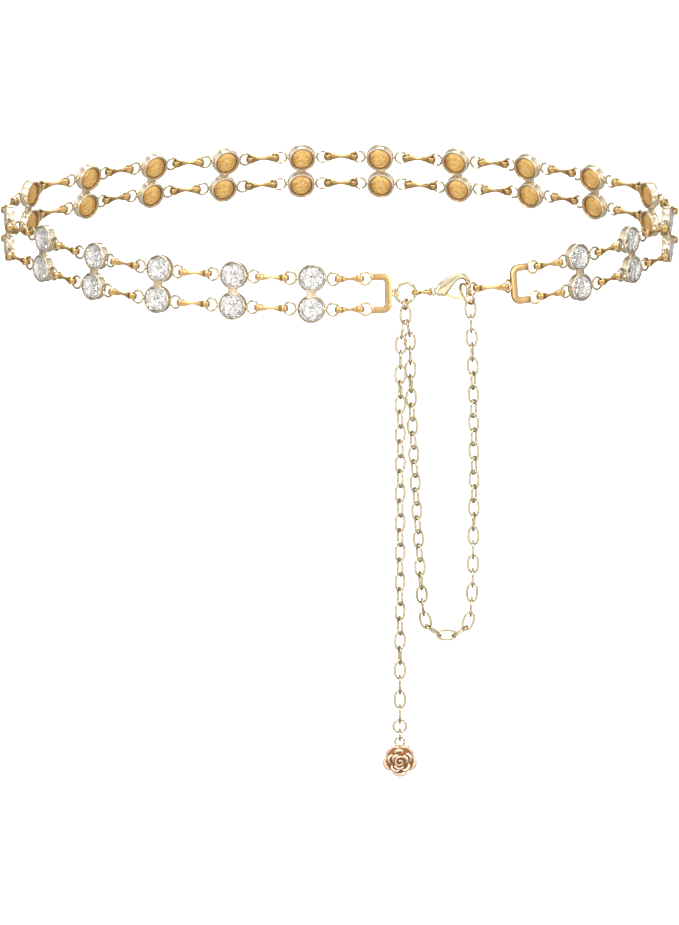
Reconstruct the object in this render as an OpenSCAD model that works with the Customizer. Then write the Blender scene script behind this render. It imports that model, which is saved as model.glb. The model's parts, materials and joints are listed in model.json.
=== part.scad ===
// A waist chain of round crystals in double settings, with a clasp and a rose drop.
// Millimetres. X to the wearer's left as seen from the front, Y to the back, Z up.
// The origin is the middle of the waist opening.

/* [Settings] */
// Outside diameter of one round cup
cup_d = 9.9; // [9:0.1:12]
// Depth of a cup, front rim to back rim
cup_depth = 3.2; // [2.8:0.1:4]
// Thickness of the cup's wall
cup_wall = 0.4; // [0.3:0.05:0.6]
// Distance between the two rows of cups
row_spacing = 11.1; // [10.8:0.1:14]
// Width of the soldered neck between the two cups
neck_w = 4; // [3:0.5:5]
// Thickness of that neck
neck_t = 1.4; // [1:0.1:2]
// How far the settings tip back at the front of the waist
lean_front = 15; // [0:1:18]
// How far they tip at the back of the waist
lean_back = 12; // [0:1:15]

/* [Stones] */
// Height of a stone above its edge
crown_h = 1.15; // [0.8:0.05:1.4]
// Depth of a stone below its edge
pavilion_h = 1.6; // [1:0.05:1.8]
// Table's width as a share of the stone's diameter
table_share = 0.5; // [0.4:0.05:0.65]
// Room between a stone and its cup
stone_gap = 0.12; // [0.1:0.01:0.2]

/* [Rings and connectors] */
// Outside diameter of the flat rings at the sides of the cups
ring_d = 5.3; // [5.2:0.1:6.5]
// Wire of those rings
ring_wire = 0.8; // [0.7:0.05:0.9]
// Length of the solder peg between a cup and its ring
peg_len = 0.3; // [0.2:0.1:1]
// Distance between the two holes of a connector
connector_pitch = 9.6; // [8:0.2:14]
// The same for the two connectors at the left bar
left_pitch = 7.6; // [7:0.2:14]
// Hole at each end of a connector
eye_hole = 1.95; // [1.85:0.05:2.05]
// Metal around that hole
eye_wall = 0.6; // [0.5:0.05:0.65]
// Height of a connector at its ends
connector_end_h = 2; // [1.6:0.1:2.1]
// Height of a connector at its waist
connector_waist_h = 0.95; // [0.7:0.05:1.4]
// Thickness of a connector between its eyes
connector_t = 1.1; // [0.8:0.1:1.4]

/* [End bars] */
// Width of an end bar's metal
bar_w = 2.5; // [2:0.1:3]
// Thickness of an end bar
bar_t = 1.4; // [1:0.1:2]
// Length of an end bar from its closed side to its open side
bar_len = 7.4; // [6:0.2:10]
// How far a bar's arm reaches beyond its row
bar_over = 0.45; // [0:0.05:0.8]
// Turn of the ring on the right bar
bar_ring_turn = 32; // [0:2:40]

/* [Closure] */
// Outside diameter of the jump ring at the left bar
jump_d = 8.6; // [7.5:0.1:10]
// Wire of the jump ring
jump_wire = 1.1; // [0.9:0.05:1.15]
// Distance between the holes of the short connector
short_pitch = 4.8; // [3.8:0.1:6]
// Distance between the holes of the long connector
long_pitch = 10.8; // [8:0.2:14]
// Height of the short connector
short_h = 1.2; // [1:0.1:1.3]
// Outside diameter of the small ring that carries the long chain
hanger_d = 4.5; // [4.4:0.1:5.5]
// Wire of that small ring
hanger_wire = 0.9; // [0.8:0.05:0.95]

/* [Clasp] */
// Length of the clasp from the middle of its eye to its nose
clasp_len = 14.8; // [13.4:0.2:18]
// Height of the clasp
clasp_h = 9.6; // [9:0.2:12]
// Thickness of the clasp at its body
clasp_t = 2.4; // [2.2:0.1:3]
// Outside diameter of the clasp's eye
clasp_eye_d = 3.4; // [3.4:0.1:4.2]
// Thickness of the lever
lever_t = 0.8; // [0.6:0.05:0.9]
// Diameter of the lever's pin
pin_d = 0.7; // [0.6:0.05:0.8]

// Outside diameter of the ring that the clasp holds
catch_d = 9; // [8.8:0.1:10]
// Wire of that ring
catch_wire = 1; // [0.9:0.05:1.1]

/* [Long chain] */
// Distance from one link of the chain to the next
link_pitch = 5.625; // [5:0.025:7]
// Width of a link
link_w = 4.5; // [4.3:0.05:6]
// Wire of a link
link_wire = 0.85; // [0.7:0.05:0.9]
// Room where one ring or link runs in another
run_gap = 0.15; // [0.12:0.01:0.2]
// Drop of the hanging loop below its first link
swag_drop = 121; // [80:1:180]
// Links of the free tail, an odd number
tail_links = 27; // [9:2:35]
// How far the links are turned from facing the front or the side
link_turn = 28; // [0:2:40]

/* [Rose] */
// Diameter of the rose
rose_d = 12.4; // [10:0.2:18]
// Thickness of the rose at its middle
rose_t = 3.4; // [2.6:0.2:5]
// Outside diameter of the ring at the end of the tail
tail_ring_d = 5.6; // [5.4:0.1:7]
// Outside diameter of the ring that the rose hangs on
drop_ring_d = 4.8; // [4.8:0.1:6]
// Outside diameter of the rose's own loop
bail_d = 4.2; // [4.2:0.1:5.5]

/* [Hidden] */
$fn = 48;
gold = "#d9b56a";
pale_gold = "#e6cf95";
clear = "#eef2f6";

// Half of the belt's way around the waist, front to back, at its first size.
// Hand-chosen points [to the side, to the back, up].
BELT_HALF = [
    [10, -87, 1.5], [39, -79.5, 0.5], [67, -68, -0.5], [91, -50, -1],
    [110.5, -27, -1], [124.5, -1, -0.5], [117, 28, 1], [95, 48.5, 1.5],
    [70.5, 66, 0.5], [43.5, 78.5, -1], [15, 85.5, -1.5]];

// The sides of the hanging loop of chain, hand-chosen: [share of its drop, share
// of the way across on the left side, and on the right side].
SWAG_SIDES = [
    [0.17, 0.055, 1.045], [0.3, 0.08, 1.058], [0.5, 0.13, 1.067],
    [0.7, 0.19, 1.06], [0.84, 0.23, 1.048]];

// Sizes that follow from the ones above.
ring_r = ring_d / 2;
ring_mid = (ring_d - ring_wire) / 2;
ring_reach = cup_d / 2 + peg_len + ring_r;
ring_back = cup_depth / 2 - 0.9;
eye_r = eye_hole / 2 + eye_wall;
solder = 0.3;
bar_ring_x = bar_len / 2 + ring_r - solder;
bar_h = row_spacing + bar_w + 2 * bar_over;
lug_hole = jump_wire + 0.6;
lug_wire = 0.8;
lug_r = lug_hole / 2 + lug_wire;
jump_mid = (jump_d - jump_wire) / 2;
clasp_eye_wire = 0.7;
clasp_eye_mid = (clasp_eye_d - clasp_eye_wire) / 2;

// The belt's route, a smooth closed curve through the points.
BELT = concat(
    [for (p = BELT_HALF) [-p.x, p.y, p.z]],
    [for (i = [len(BELT_HALF) - 1 : -1 : 0]) BELT_HALF[i]]);
belt_n = len(BELT);
function wrap(i) = (i % belt_n + belt_n) % belt_n;
function spline(a, b, c, d, t) =
    0.5 * (2 * b + (c - a) * t + (2 * a - 5 * b + 4 * c - d) * t * t
        + (3 * b - a - 3 * c + d) * t * t * t);
function slope(a, b, c, d, t) =
    0.5 * ((c - a) + 2 * (2 * a - 5 * b + 4 * c - d) * t
        + 3 * (3 * b - a - 3 * c + d) * t * t);
function belt_at(u) = let (i = floor(u))
    spline(BELT[wrap(i - 1)], BELT[wrap(i)], BELT[wrap(i + 1)], BELT[wrap(i + 2)], u - i);
function belt_way(u) = let (i = floor(u), s = slope(BELT[wrap(i - 1)], BELT[wrap(i)],
    BELT[wrap(i + 1)], BELT[wrap(i + 2)], u - i)) s / norm(s);

// A piece at place u of a route of size k: the point `reach` along it, in the
// plane of the flat rings. The wire that a connector holds is such a point.
function tip(k, u, reach) =
    let (w = belt_way(u)) belt_at(u) * k + w * reach + level_out(w) * ring_back;
// The place where the tip of the next piece stands `gap` beyond the point `from`.
function next_u(k, from, reach, gap, lo, hi, n = 20) =
    let (m = (lo + hi) / 2) n == 0 ? m :
    norm(tip(k, m, -reach) - from) < gap ? next_u(k, from, reach, gap, m, hi, n - 1)
        : next_u(k, from, reach, gap, lo, m, n - 1);
function prev_u(k, from, reach, gap, lo, hi, n = 20) =
    let (m = (lo + hi) / 2) n == 0 ? m :
    norm(tip(k, m, reach) - from) < gap ? prev_u(k, from, reach, gap, lo, m, n - 1)
        : prev_u(k, from, reach, gap, m, hi, n - 1);

// The wires at a connector's ends stand a little closer than its holes.
wire_x = ring_reach + ring_mid;
bar_wire_x = bar_ring_x + ring_mid;
wire_less = 0.3;
wire_span = connector_pitch - wire_less;
function walk(k, u, n) = n == 0 ? [u] :
    concat([u], walk(k, next_u(k, tip(k, u, wire_x), wire_x, wire_span, u + 0.3, u + 2), n - 1));
function left_bar_u(k) =
    prev_u(k, tip(k, 0, -wire_x), bar_wire_x, left_pitch - wire_less, -2, -0.2);
function right_bar_u(k, u) =
    next_u(k, tip(k, u, wire_x), bar_wire_x, wire_span, u + 0.3, u + 2);
function run(k, a, b, n = 24) = [for (i = 0, s = 0; i <= n;
    s = s + (i < n ? k * norm(belt_at(a + (b - a) * (i + 1) / n)
        - belt_at(a + (b - a) * i / n)) : 0), i = i + 1) [s, a + (b - a) * i / n]];

// A layout: [size of the route, places of the settings, of the left bar, of the
// right bar, run of the front between the bars].
function lay(k) = let (us = walk(k, 0, 18), ul = left_bar_u(k), ur = right_bar_u(k, us[18]))
    [k, us, ul, ur, run(k, ul + belt_n, ur)];
belt_len = let (r = run(1, 0, belt_n, 88)) r[88][0];
// The route's size comes from the pieces on it, so that the belt closes.
function fit(c, k, n) = let (a = lay(k)) n == 0 ? a
    : fit(c, k + (c + bar_len - a[4][24][0]) / belt_len, n - 1);

// Frames: [place, along, out, up]
function level_out(t) = let (h = norm([t.x, t.y])) [-t.y / h, t.x / h, 0];
function belt_frame(k, u) = let (t = belt_way(u), o = level_out(t),
    l = (o.y < 0 ? lean_front : lean_back) * o.y * o.y,
    v = cross(t, o), q = o * cos(l) + v * sin(l)) [belt_at(u) * k, t, q, cross(t, q)];
// In the closure, X runs to the right and Y to the back, in the rings' plane.
function front_frame(a, s) = let (u = lookup(s + bar_len / 2, a[4]), w = -belt_way(u),
    o = level_out(-w)) [belt_at(u) * a[0] + o * ring_back, w, -o, cross(w, -o)];
function between(a, b, up) = let (x = (b - a) / norm(b - a), y0 = cross(up, x),
    y = y0 / norm(y0)) [(a + b) / 2, x, y, cross(x, y)];
function on(f, v) = f[0] + f[1] * v.x + f[2] * v.y + f[3] * v.z;
function turned(f, yaw, roll, at) = let (x = f[1] * cos(yaw) + f[2] * sin(yaw),
    b = f[2] * cos(yaw) - f[1] * sin(yaw))
    [at, x, b * cos(roll) - f[3] * sin(roll), f[3] * cos(roll) + b * sin(roll)];
module at(f) {
    multmatrix([
        [f[1].x, f[2].x, f[3].x, f[0].x], [f[1].y, f[2].y, f[3].y, f[0].y],
        [f[1].z, f[2].z, f[3].z, f[0].z], [0, 0, 0, 1]]) children();
}

// The closure, as distances from the left bar's closed side.
s_lug = lug_r - solder;
s_jump = s_lug + jump_mid;
s_hole_a = s_jump + jump_mid + 0.05;
s_hole_b = s_hole_a + short_pitch;
s_eye = s_hole_b + clasp_eye_mid;
nose_in = 0.885;
function clasp_at(a) = let (p = front_frame(a, s_eye)[0],
    f = between(p, front_frame(a, s_eye + clasp_len)[0], [0, 0, 1])) [p, f[1], f[2], f[3]];
// The clasp's ring: its top lies in the nose, its foot leans out to the right
// and its right side comes forward.
catch_tip = 20;
catch_turn = 76;
catch_mid_r = (catch_d - catch_wire) / 2;
catch_top = [clasp_len * nose_in - catch_wire / 2 - run_gap - 0.35, 0, 0.22 * clasp_h];
function catch_at(a) = let (f = clasp_at(a), d = f[1] * sin(catch_tip) - f[3] * cos(catch_tip),
    p = f[1] * cos(catch_tip) + f[3] * sin(catch_tip),
    x = p * cos(catch_turn) - f[2] * sin(catch_turn))
    [on(f, catch_top) + d * catch_mid_r, x, cross(-d, x), -d];
// The small ring hangs on the forward side of the clasp's ring, a little above
// its middle, and runs on to the right and the back.
small_up = 37;
small_yaw = 22;
small_in = 1.12;
function small_at(a) = let (c = catch_at(a), t = turned(clasp_at(a), small_yaw, 0, c[0]))
    [c[0] + (c[1] * cos(small_up) + c[3] * sin(small_up)) * catch_mid_r + t[1] * small_in,
        t[1], t[2], t[3]];
function small_eye(a) = on(small_at(a), [ring_mid, 0, 0]);
// The right bar's own ring, [distance from the bar's middle, out of its face].
bar_ring_at = [bar_len / 2 + (ring_r - solder) * cos(bar_ring_turn),
    (ring_r - solder) * sin(bar_ring_turn)];
function bar_eye(a) = on(belt_frame(a[0], a[3]), [bar_ring_at.x + ring_mid * cos(bar_ring_turn),
    ring_back + bar_ring_at.y + ring_mid * sin(bar_ring_turn), 0]);
// The gap between the bars is as long as the closure needs.
function solve(c, n) = let (a = fit(c, 1, 3)) n == 0 ? a
    : solve(c + long_pitch - norm(small_eye(a) - bar_eye(a)), n - 1);
LAYOUT = solve(3 * clasp_len, 4);
size = LAYOUT[0];
STATION = LAYOUT[1];
left_frame = belt_frame(size, LAYOUT[2]);
right_frame = belt_frame(size, LAYOUT[3]);
function station_frame(i) = belt_frame(size, STATION[i - 1]);

// Wire rings and oval links, lying in the X-Z plane.
module wire_ring(d, wire) {
    rotate([90, 0, 0]) rotate_extrude() translate([(d - wire) / 2, 0]) circle(d = wire, $fn = 24);
}
module oval_link(l, w, wire) {
    mid = (w - wire) / 2;
    side = l - w;
    rotate([90, 0, 0]) for (half = [0, 180]) rotate(half) {
        translate([0, side / 2]) rotate_extrude(angle = 180)
            translate([mid, 0]) circle(d = wire, $fn = 24);
        translate([mid, side / 2]) rotate([90, 0, 0]) cylinder(h = side, d = wire, $fn = 24);
    }
}

// Settings.
stone_d = cup_d - 2 * cup_wall - 2 * stone_gap;
seat_w = 0.4;
back_recess = 0.45;
girdle_h = 0.3;
rim_h = 0.7;
rim_out = 0.15;
seat_z = cup_depth - 0.75 - girdle_h;
// The neck ends inside both cup walls.
neck_h = row_spacing - 2 * sqrt(pow(cup_d / 2, 2) - pow(neck_w / 2, 2)) + 2 * cup_wall;
module facing() { rotate([-90, 0, 0]) translate([0, 0, -cup_depth / 2]) children(); }
module cup_outside() {
    cylinder(h = cup_depth, d = cup_d);
    translate([0, 0, cup_depth - rim_h]) cylinder(h = rim_h, d = cup_d + 2 * rim_out);
}
module cup_inside() {
    translate([0, 0, -1]) cylinder(h = cup_depth + 2, d = stone_d - 2 * seat_w);
    translate([0, 0, seat_z]) cylinder(h = cup_depth, d = cup_d - 2 * cup_wall);
    translate([0, 0, -1]) cylinder(h = 1 + back_recess, d = cup_d - 2 * cup_wall);
}
module setting(i) {
    color(pale_gold) at(station_frame(i)) difference() {
        union() {
            for (z = [-1, 1] * row_spacing / 2) translate([0, 0, z]) {
                facing() cup_outside();
                for (x = [-1, 1]) {
                    translate([x * ring_reach, ring_back, 0]) wire_ring(ring_d, ring_wire);
                    translate([x * (cup_d / 2 - cup_wall), ring_back, 0]) rotate([0, x * 90, 0])
                        cylinder(h = peg_len + cup_wall + ring_wire / 2, d = 1.2);
                }
            }
            translate([-neck_w / 2, ring_back - neck_t / 2, -neck_h / 2])
                cube([neck_w, neck_t, neck_h]);
        }
        for (z = [-1, 1] * row_spacing / 2) translate([0, 0, z]) facing() cup_inside();
    }
}

// A round stone: 8-sided table, 8 stars, 8 kites, 16 edge facets, a narrow edge,
// and a pavilion of 16 facets round a flat 8-sided base.
function ring_pts(r, z, n, turn) = [for (i = [0 : n - 1])
    [r * cos(turn + i * 360 / n), r * sin(turn + i * 360 / n), z]];
module stone() {
    r = stone_d / 2;
    table_r = r * table_share / cos(22.5);
    star_r = r * (1 + table_share) / 2;
    star_z = girdle_h + crown_h * 0.62;
    base_r = r * 0.56;
    pts = concat(
        ring_pts(table_r, girdle_h + crown_h, 8, 0),
        ring_pts(star_r, star_z, 8, 22.5),
        ring_pts(r, girdle_h, 16, 0),
        ring_pts(r, 0, 16, 0),
        ring_pts(r - seat_w - 0.12, -0.02, 16, 0),
        ring_pts(base_r, -pavilion_h, 8, 0));
    faces = concat(
        [[for (i = [7 : -1 : 0]) i]],
        [for (i = [0 : 7]) [i, (i + 1) % 8, 8 + i]],
        [for (i = [0 : 7]) [i, 8 + i, 16 + 2 * i]],
        [for (i = [0 : 7]) [i, 16 + 2 * i, 8 + (i + 7) % 8]],
        [for (i = [0 : 7]) [8 + i, 17 + 2 * i, 16 + 2 * i]],
        [for (i = [0 : 7]) [8 + i, 16 + (2 * i + 2) % 16, 17 + 2 * i]],
        [for (i = [0 : 15]) [16 + i, 16 + (i + 1) % 16, 32 + (i + 1) % 16]],
        [for (i = [0 : 15]) [16 + i, 32 + (i + 1) % 16, 32 + i]],
        [for (i = [0 : 15]) [32 + i, 32 + (i + 1) % 16, 48 + (i + 1) % 16]],
        [for (i = [0 : 15]) [32 + i, 48 + (i + 1) % 16, 48 + i]],
        [for (i = [0 : 7]) [48 + 2 * i, 49 + 2 * i, 64 + i]],
        [for (i = [0 : 7]) [49 + 2 * i, 48 + (2 * i + 2) % 16, 64 + (i + 1) % 8]],
        [for (i = [0 : 7]) [49 + 2 * i, 64 + (i + 1) % 8, 64 + i]],
        [[for (i = [0 : 7]) 64 + i]]);
    polyhedron(points = pts, faces = faces);
}
module stones(i) {
    color(clear) at(station_frame(i)) for (z = [-1, 1] * row_spacing / 2)
        translate([0, -cup_depth / 2 + seat_z + stone_gap, z])
            rotate([-90, 0, 0]) rotate(11.25) stone();
}

// Connectors: two eyes on a slim neck, pinched to a bow in front view.
module connector(pitch, end_h = connector_end_h, waist_h = connector_waist_h) {
    flat = pitch / 2 - eye_r;
    n = 8;
    edge = concat([[-pitch, end_h / 2]],
        [for (i = [-n : n]) let (t = abs(i) / n)
            [flat * i / n, (waist_h + (end_h - waist_h) * (1 - cos(180 * t)) / 2) / 2]],
        [[pitch, end_h / 2]]);
    intersection() {
        difference() {
            translate([0, 0, -end_h / 2]) union() {
                translate([-pitch / 2, -connector_t / 2, 0]) cube([pitch, connector_t, end_h]);
                for (x = [-1, 1]) translate([x * pitch / 2, 0, 0]) cylinder(h = end_h, r = eye_r);
            }
            for (x = [-1, 1]) translate([x * pitch / 2, 0, -end_h])
                cylinder(h = 2 * end_h, d = eye_hole);
        }
        rotate([90, 0, 0]) translate([0, 0, -eye_r - 1]) linear_extrude(2 * eye_r + 2)
            polygon(concat(edge, [for (i = [len(edge) - 1 : -1 : 0]) [edge[i].x, -edge[i].y]]));
    }
}
// Row is 1 for the upper and -1 for the lower. Place k runs from 0, at the left
// bar, to 19, at the right bar.
function wire_at(f, x, row) = on(f, [x, ring_back, row * row_spacing / 2]);
function wire_a(k, row) = k == 0 ? wire_at(left_frame, bar_wire_x, row)
    : wire_at(station_frame(k), wire_x, row);
function wire_b(k, row) = k == 19 ? wire_at(right_frame, -bar_wire_x, row)
    : wire_at(station_frame(k + 1), -wire_x, row);
function joint_up(k) = (k == 0 ? left_frame[3] : station_frame(k)[3])
    + (k == 19 ? right_frame[3] : station_frame(k + 1)[3]);
module connectors(row) {
    color(gold) for (k = [0 : 19])
        at(between(wire_a(k, row), wire_b(k, row), joint_up(k)))
            connector(k == 0 ? left_pitch : connector_pitch);
}

// End bars: a flat C, open towards the belt (+X here).
module round_rect(x0, x1, h, r) {
    translate([x0, -h / 2 + r]) square([x1 - x0, h - 2 * r]);
    translate([x0 + r, -h / 2]) square([x1 - x0 - r, h]);
    for (z = [-1, 1]) translate([x0 + r, z * (h / 2 - r)]) circle(r = r);
}
module c_shape(edge) {
    difference() {
        round_rect(edge, bar_len - edge, bar_h - 2 * edge, 3.4 - edge);
        round_rect(bar_w - edge, bar_len + 1, bar_h - 2 * bar_w + 2 * edge, 1.6 + edge);
    }
}
module end_bar() {
    translate([-bar_len / 2, ring_back, 0]) rotate([90, 0, 0]) {
        translate([0, 0, -bar_t / 2 + 0.2]) linear_extrude(bar_t - 0.4) c_shape(0);
        translate([0, 0, -bar_t / 2]) linear_extrude(bar_t) c_shape(0.2);
    }
    for (z = [-1, 1]) translate([bar_ring_x, ring_back, z * row_spacing / 2])
        wire_ring(ring_d, ring_wire);
}
module end_bar_left() {
    color(gold) at(left_frame) {
        end_bar();
        translate([-bar_len / 2 - s_lug, ring_back, 0]) rotate([90, 0, 0])
            wire_ring(2 * lug_r, lug_wire);
    }
}
module end_bar_right() {
    color(gold) at(right_frame) {
        mirror([1, 0, 0]) end_bar();
        translate([bar_ring_at.x, ring_back + bar_ring_at.y, 0]) rotate([0, 0, bar_ring_turn])
            wire_ring(ring_d, ring_wire);
    }
}

// The closure's rings and connectors.
jump_frame = front_frame(LAYOUT, s_jump);
module jump_ring() { color(pale_gold) at(jump_frame) wire_ring(jump_d, jump_wire); }
module short_connector() {
    a = front_frame(LAYOUT, s_hole_a)[0];
    b = front_frame(LAYOUT, s_hole_b)[0];
    color(gold) at(between(a, b, [0, 0, 1])) connector(short_pitch, short_h, short_h - 0.2);
}

// Clasp, drawn facing the viewer with its eye at the origin, nose to the right.
clasp_frame = clasp_at(LAYOUT);
// Outside and inside of the claw: [share of the length, share of the height].
CLAW = [
    [0.07, 0.12], [0.16, 0.27], [0.3, 0.43], [0.46, 0.58], [0.62, 0.66],
    [0.76, 0.66], [0.88, 0.56], [0.96, 0.4], [1, 0.2], [1, -0.02], [0.975, -0.2],
    [0.935, -0.3], [0.876, -0.28], [0.885, -0.2], [0.885, 0.02], [0.885, 0.2], [0.85, 0.35],
    [0.78, 0.42], [0.68, 0.43], [0.58, 0.3], [0.45, 0.02], [0.37, -0.14],
    [0.28, -0.2], [0.17, -0.16], [0.07, -0.1]];
pivot = [0.3 * clasp_len, -0.085 * clasp_h];
// The lever: a hub on the pin and an arm that ends behind the nose's tip.
LEVER = [
    [0.32, -0.02], [0.4, -0.1], [0.55, -0.21], [0.72, -0.27], [0.838, -0.29],
    [0.838, -0.38], [0.72, -0.37], [0.55, -0.31], [0.4, -0.22], [0.28, -0.17]];
function to_size(list) = [for (p = list) [p.x * clasp_len, p.y * clasp_h]];
module clasp_body() {
    dome = 13;
    color(pale_gold) at(clasp_frame) {
        wire_ring(clasp_eye_d, clasp_eye_wire);
        difference() {
            intersection() {
                rotate([90, 0, 0]) translate([0, 0, -clasp_t / 2]) linear_extrude(clasp_t)
                    polygon(to_size(CLAW));
                translate([0, dome - clasp_t / 2, 0.2 * clasp_h])
                    rotate([0, 90, 0]) cylinder(h = clasp_len * 1.2, r = dome, $fn = 96);
                translate([0, clasp_t / 2 - dome, 0.2 * clasp_h])
                    rotate([0, 90, 0]) cylinder(h = clasp_len * 1.2, r = dome, $fn = 96);
            }
            // The lever's slot, open below.
            translate([0.2 * clasp_len, -lever_t / 2 - run_gap, -0.5 * clasp_h])
                cube([0.35 * clasp_len, lever_t + 2 * run_gap, 0.62 * clasp_h]);
            // The nose is thinner than the body, front and back.
            for (y = [-1, 1]) translate([0.93 * clasp_len, y * (clasp_t / 2 + 1.75), -clasp_h])
                cylinder(h = 2 * clasp_h, r = 2.2);
        }
        translate([pivot.x, 0, pivot.y]) rotate([90, 0, 0])
            cylinder(h = clasp_t - 0.4, d = pin_d, center = true);
    }
}
module clasp_lever() {
    bore = pin_d + 2 * run_gap;
    color(gold) at(clasp_frame) rotate([90, 0, 0]) translate([0, 0, -lever_t / 2]) difference() {
        union() {
            translate(pivot) cylinder(h = lever_t, d = bore + 1.1);
            linear_extrude(lever_t) polygon(to_size(LEVER));
        }
        translate([pivot.x, pivot.y, -1]) cylinder(h = lever_t + 2, d = bore);
    }
}

// The clasp's ring, and the ring and connector behind it.
catch_frame = catch_at(LAYOUT);
small_frame = small_at(LAYOUT);
module catch_ring() { color(gold) at(catch_frame) wire_ring(catch_d, catch_wire); }
module small_ring() { color(pale_gold) at(small_frame) wire_ring(ring_d, ring_wire); }
module long_connector() {
    color(gold) at(between(small_eye(LAYOUT), bar_eye(LAYOUT), small_frame[3] + right_frame[3]))
        connector(long_pitch);
}

// The long chain: how far the middles of two hooked wires stand apart.
function hooked(a, b) = (a + b) / 2 + run_gap;
hanger_mid = (hanger_d - hanger_wire) / 2;
hanger_turn = 25;
hanger_at = jump_frame[0] + [0, 0, hooked(jump_wire, hanger_wire) + 0.12 - jump_mid - hanger_mid];
module hanger_ring() {
    color(gold) translate(hanger_at) rotate([0, 0, 90 - hanger_turn])
        wire_ring(hanger_d, hanger_wire);
}
link_l = link_pitch + run_gap + 2 * link_wire;
link_end = (link_l - link_wire) / 2;
top_at = hanger_at + [0, 0, hooked(hanger_wire, link_wire) - hanger_mid - link_end];
module link() { oval_link(link_l, link_w, link_wire); }
module top_link() { color(gold) translate(top_at) link(); }

// Joints lie between one link and the next. Each strand starts beside the other
// on the top link's lower end, which is round, so both start a little higher.
strand_off = (link_wire + run_gap) / 2 + 0.08;
strand_up = 0.25;
joint_drop = link_pitch / 2;
swag_left = top_at + [strand_off, 0, strand_up - joint_drop];
swag_right = on(catch_frame, [0, 0, -catch_mid_r])
    + [0, 0, hooked(catch_wire, link_wire) - (link_wire + run_gap) / 2];
// Below the top link the strands part: the tail goes to the left and forward, the
// hanging loop to the right and back.
strand_part = [1.3, 1.7];
function strand_side(i) = [strand_part.x * (1 - exp(-1.1 * i)), strand_part.y * (1 - exp(-1.8 * i))];
function strand_z(i) = i == 0 ? 0 : let (d = strand_side(i) - strand_side(i - 1))
    strand_z(i - 1) - sqrt(link_pitch * link_pitch - d * d);
// The loop's foot is part of a circle, so that its links bend evenly.
foot_mid = 0.645;
foot_r = 0.375 * (swag_right.x - swag_left.x);
function swag_pt(x, drop) = [swag_left.x + (swag_right.x - swag_left.x) * x,
    swag_left.y + strand_part.y + (swag_right.y - swag_left.y - strand_part.y)
        * min(1, max(0, x - 0.1)), swag_left.z - drop];
SWAG = concat([swag_left + [0, 0, 8], swag_left],
    [for (i = [1, 2]) swag_left + [strand_side(i).x, strand_side(i).y, strand_z(i)]],
    [for (p = SWAG_SIDES) swag_pt(p.y, swag_drop * p.x)],
    [for (a = [195 : 30 : 345]) swag_pt(foot_mid, swag_drop - foot_r)
        + [foot_r * cos(a), 0, foot_r * sin(a)]],
    [for (i = [len(SWAG_SIDES) - 1 : -1 : 0]) let (p = SWAG_SIDES[i])
        swag_pt(p.z, swag_drop * p.x)],
    [swag_right, swag_right + [0, 0, 8]]);
swag_n = len(SWAG) - 3;
function swag_at(u) = let (i = min(floor(u), swag_n - 1))
    spline(SWAG[i], SWAG[i + 1], SWAG[i + 2], SWAG[i + 3], u - i);
swag_steps = swag_n * 8;
SWAG_RUN = [for (i = 0, s = 0; i <= swag_steps; s = s + norm(swag_at((i + 1) / 8)
    - swag_at(i / 8)), i = i + 1) [s, i / 8]];
swag_len = SWAG_RUN[swag_steps][0];
// The loop hangs a little slack, so that its links can bend at the foot.
swag_links = 2 * ceil(swag_len / (2 * (link_pitch - 0.2)));
// Links near a hook, and those at the loop's foot, face the front or the side.
foot_link = swag_links * 0.53;
function twist(i, ends) = let (near = min([for (e = ends) abs(i - e)]))
    link_turn * max(0, min(1, (near - 1.5) / 5));
function swag_joint(i) = swag_at(lookup(swag_len * i / swag_links, SWAG_RUN));
module chain_link(a, b, turn) {
    z = (a - b) / norm(a - b);
    y = [0, 1, 0] - z * z.y;
    side = y / norm(y);
    at([(a + b) / 2, cross(side, z), side, z]) rotate([0, 0, turn]) link();
}
module chain_swag() {
    color(gold) for (i = [0 : swag_links - 1])
        chain_link(swag_joint(i), swag_joint(i + 1),
            (i % 2 == 0 ? 90 : 0) + twist(i, [0, foot_link - 3, foot_link, foot_link + 3,
                swag_links - 1]));
}
tail_top = top_at + [-strand_off, 0, strand_up - joint_drop];
function tail_joint(i) = tail_top + [-strand_side(i).x, -strand_side(i).y, strand_z(i)];
module chain_tail() {
    color(gold) for (i = [0 : tail_links - 1])
        chain_link(tail_joint(i), tail_joint(i + 1),
            (i % 2 == 0 ? 90 : 0) + twist(i, [0, tail_links - 1]));
}

// The rose and its rings.
tail_ring_wire = 0.9;
tail_ring_mid = (tail_ring_d - tail_ring_wire) / 2;
tail_ring_at = tail_joint(tail_links) + [0, 0, hooked(link_wire, tail_ring_wire)
    - (link_wire + run_gap) / 2 - tail_ring_mid];
module tail_ring() { color(gold) translate(tail_ring_at) wire_ring(tail_ring_d, tail_ring_wire); }
drop_wire = 0.85;
drop_mid = (drop_ring_d - drop_wire) / 2;
drop_pivot = tail_ring_at - [0, 0, tail_ring_mid];
drop_at = drop_pivot + [0, 0, hooked(tail_ring_wire, drop_wire) - drop_mid];
module drop_ring() {
    color(gold) translate(drop_at) rotate([0, 0, 90]) wire_ring(drop_ring_d, drop_wire);
}
bail_wire = 0.8;
bail_mid = (bail_d - bail_wire) / 2;
bail_pivot = drop_at - [0, 0, drop_mid];
bail_at = bail_pivot + [0, 0, hooked(drop_wire, bail_wire) - bail_mid];
rose_at = bail_at - [0, 0, bail_d / 2 + rose_d / 2 - 0.95];

// The rose's outline, as a share of its radius: five round petals.
petals = 5;
function petal_edge(a) = 0.86 + 0.14 * pow(abs(cos(petals * (a - 90) / 2)), 0.6);
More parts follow.
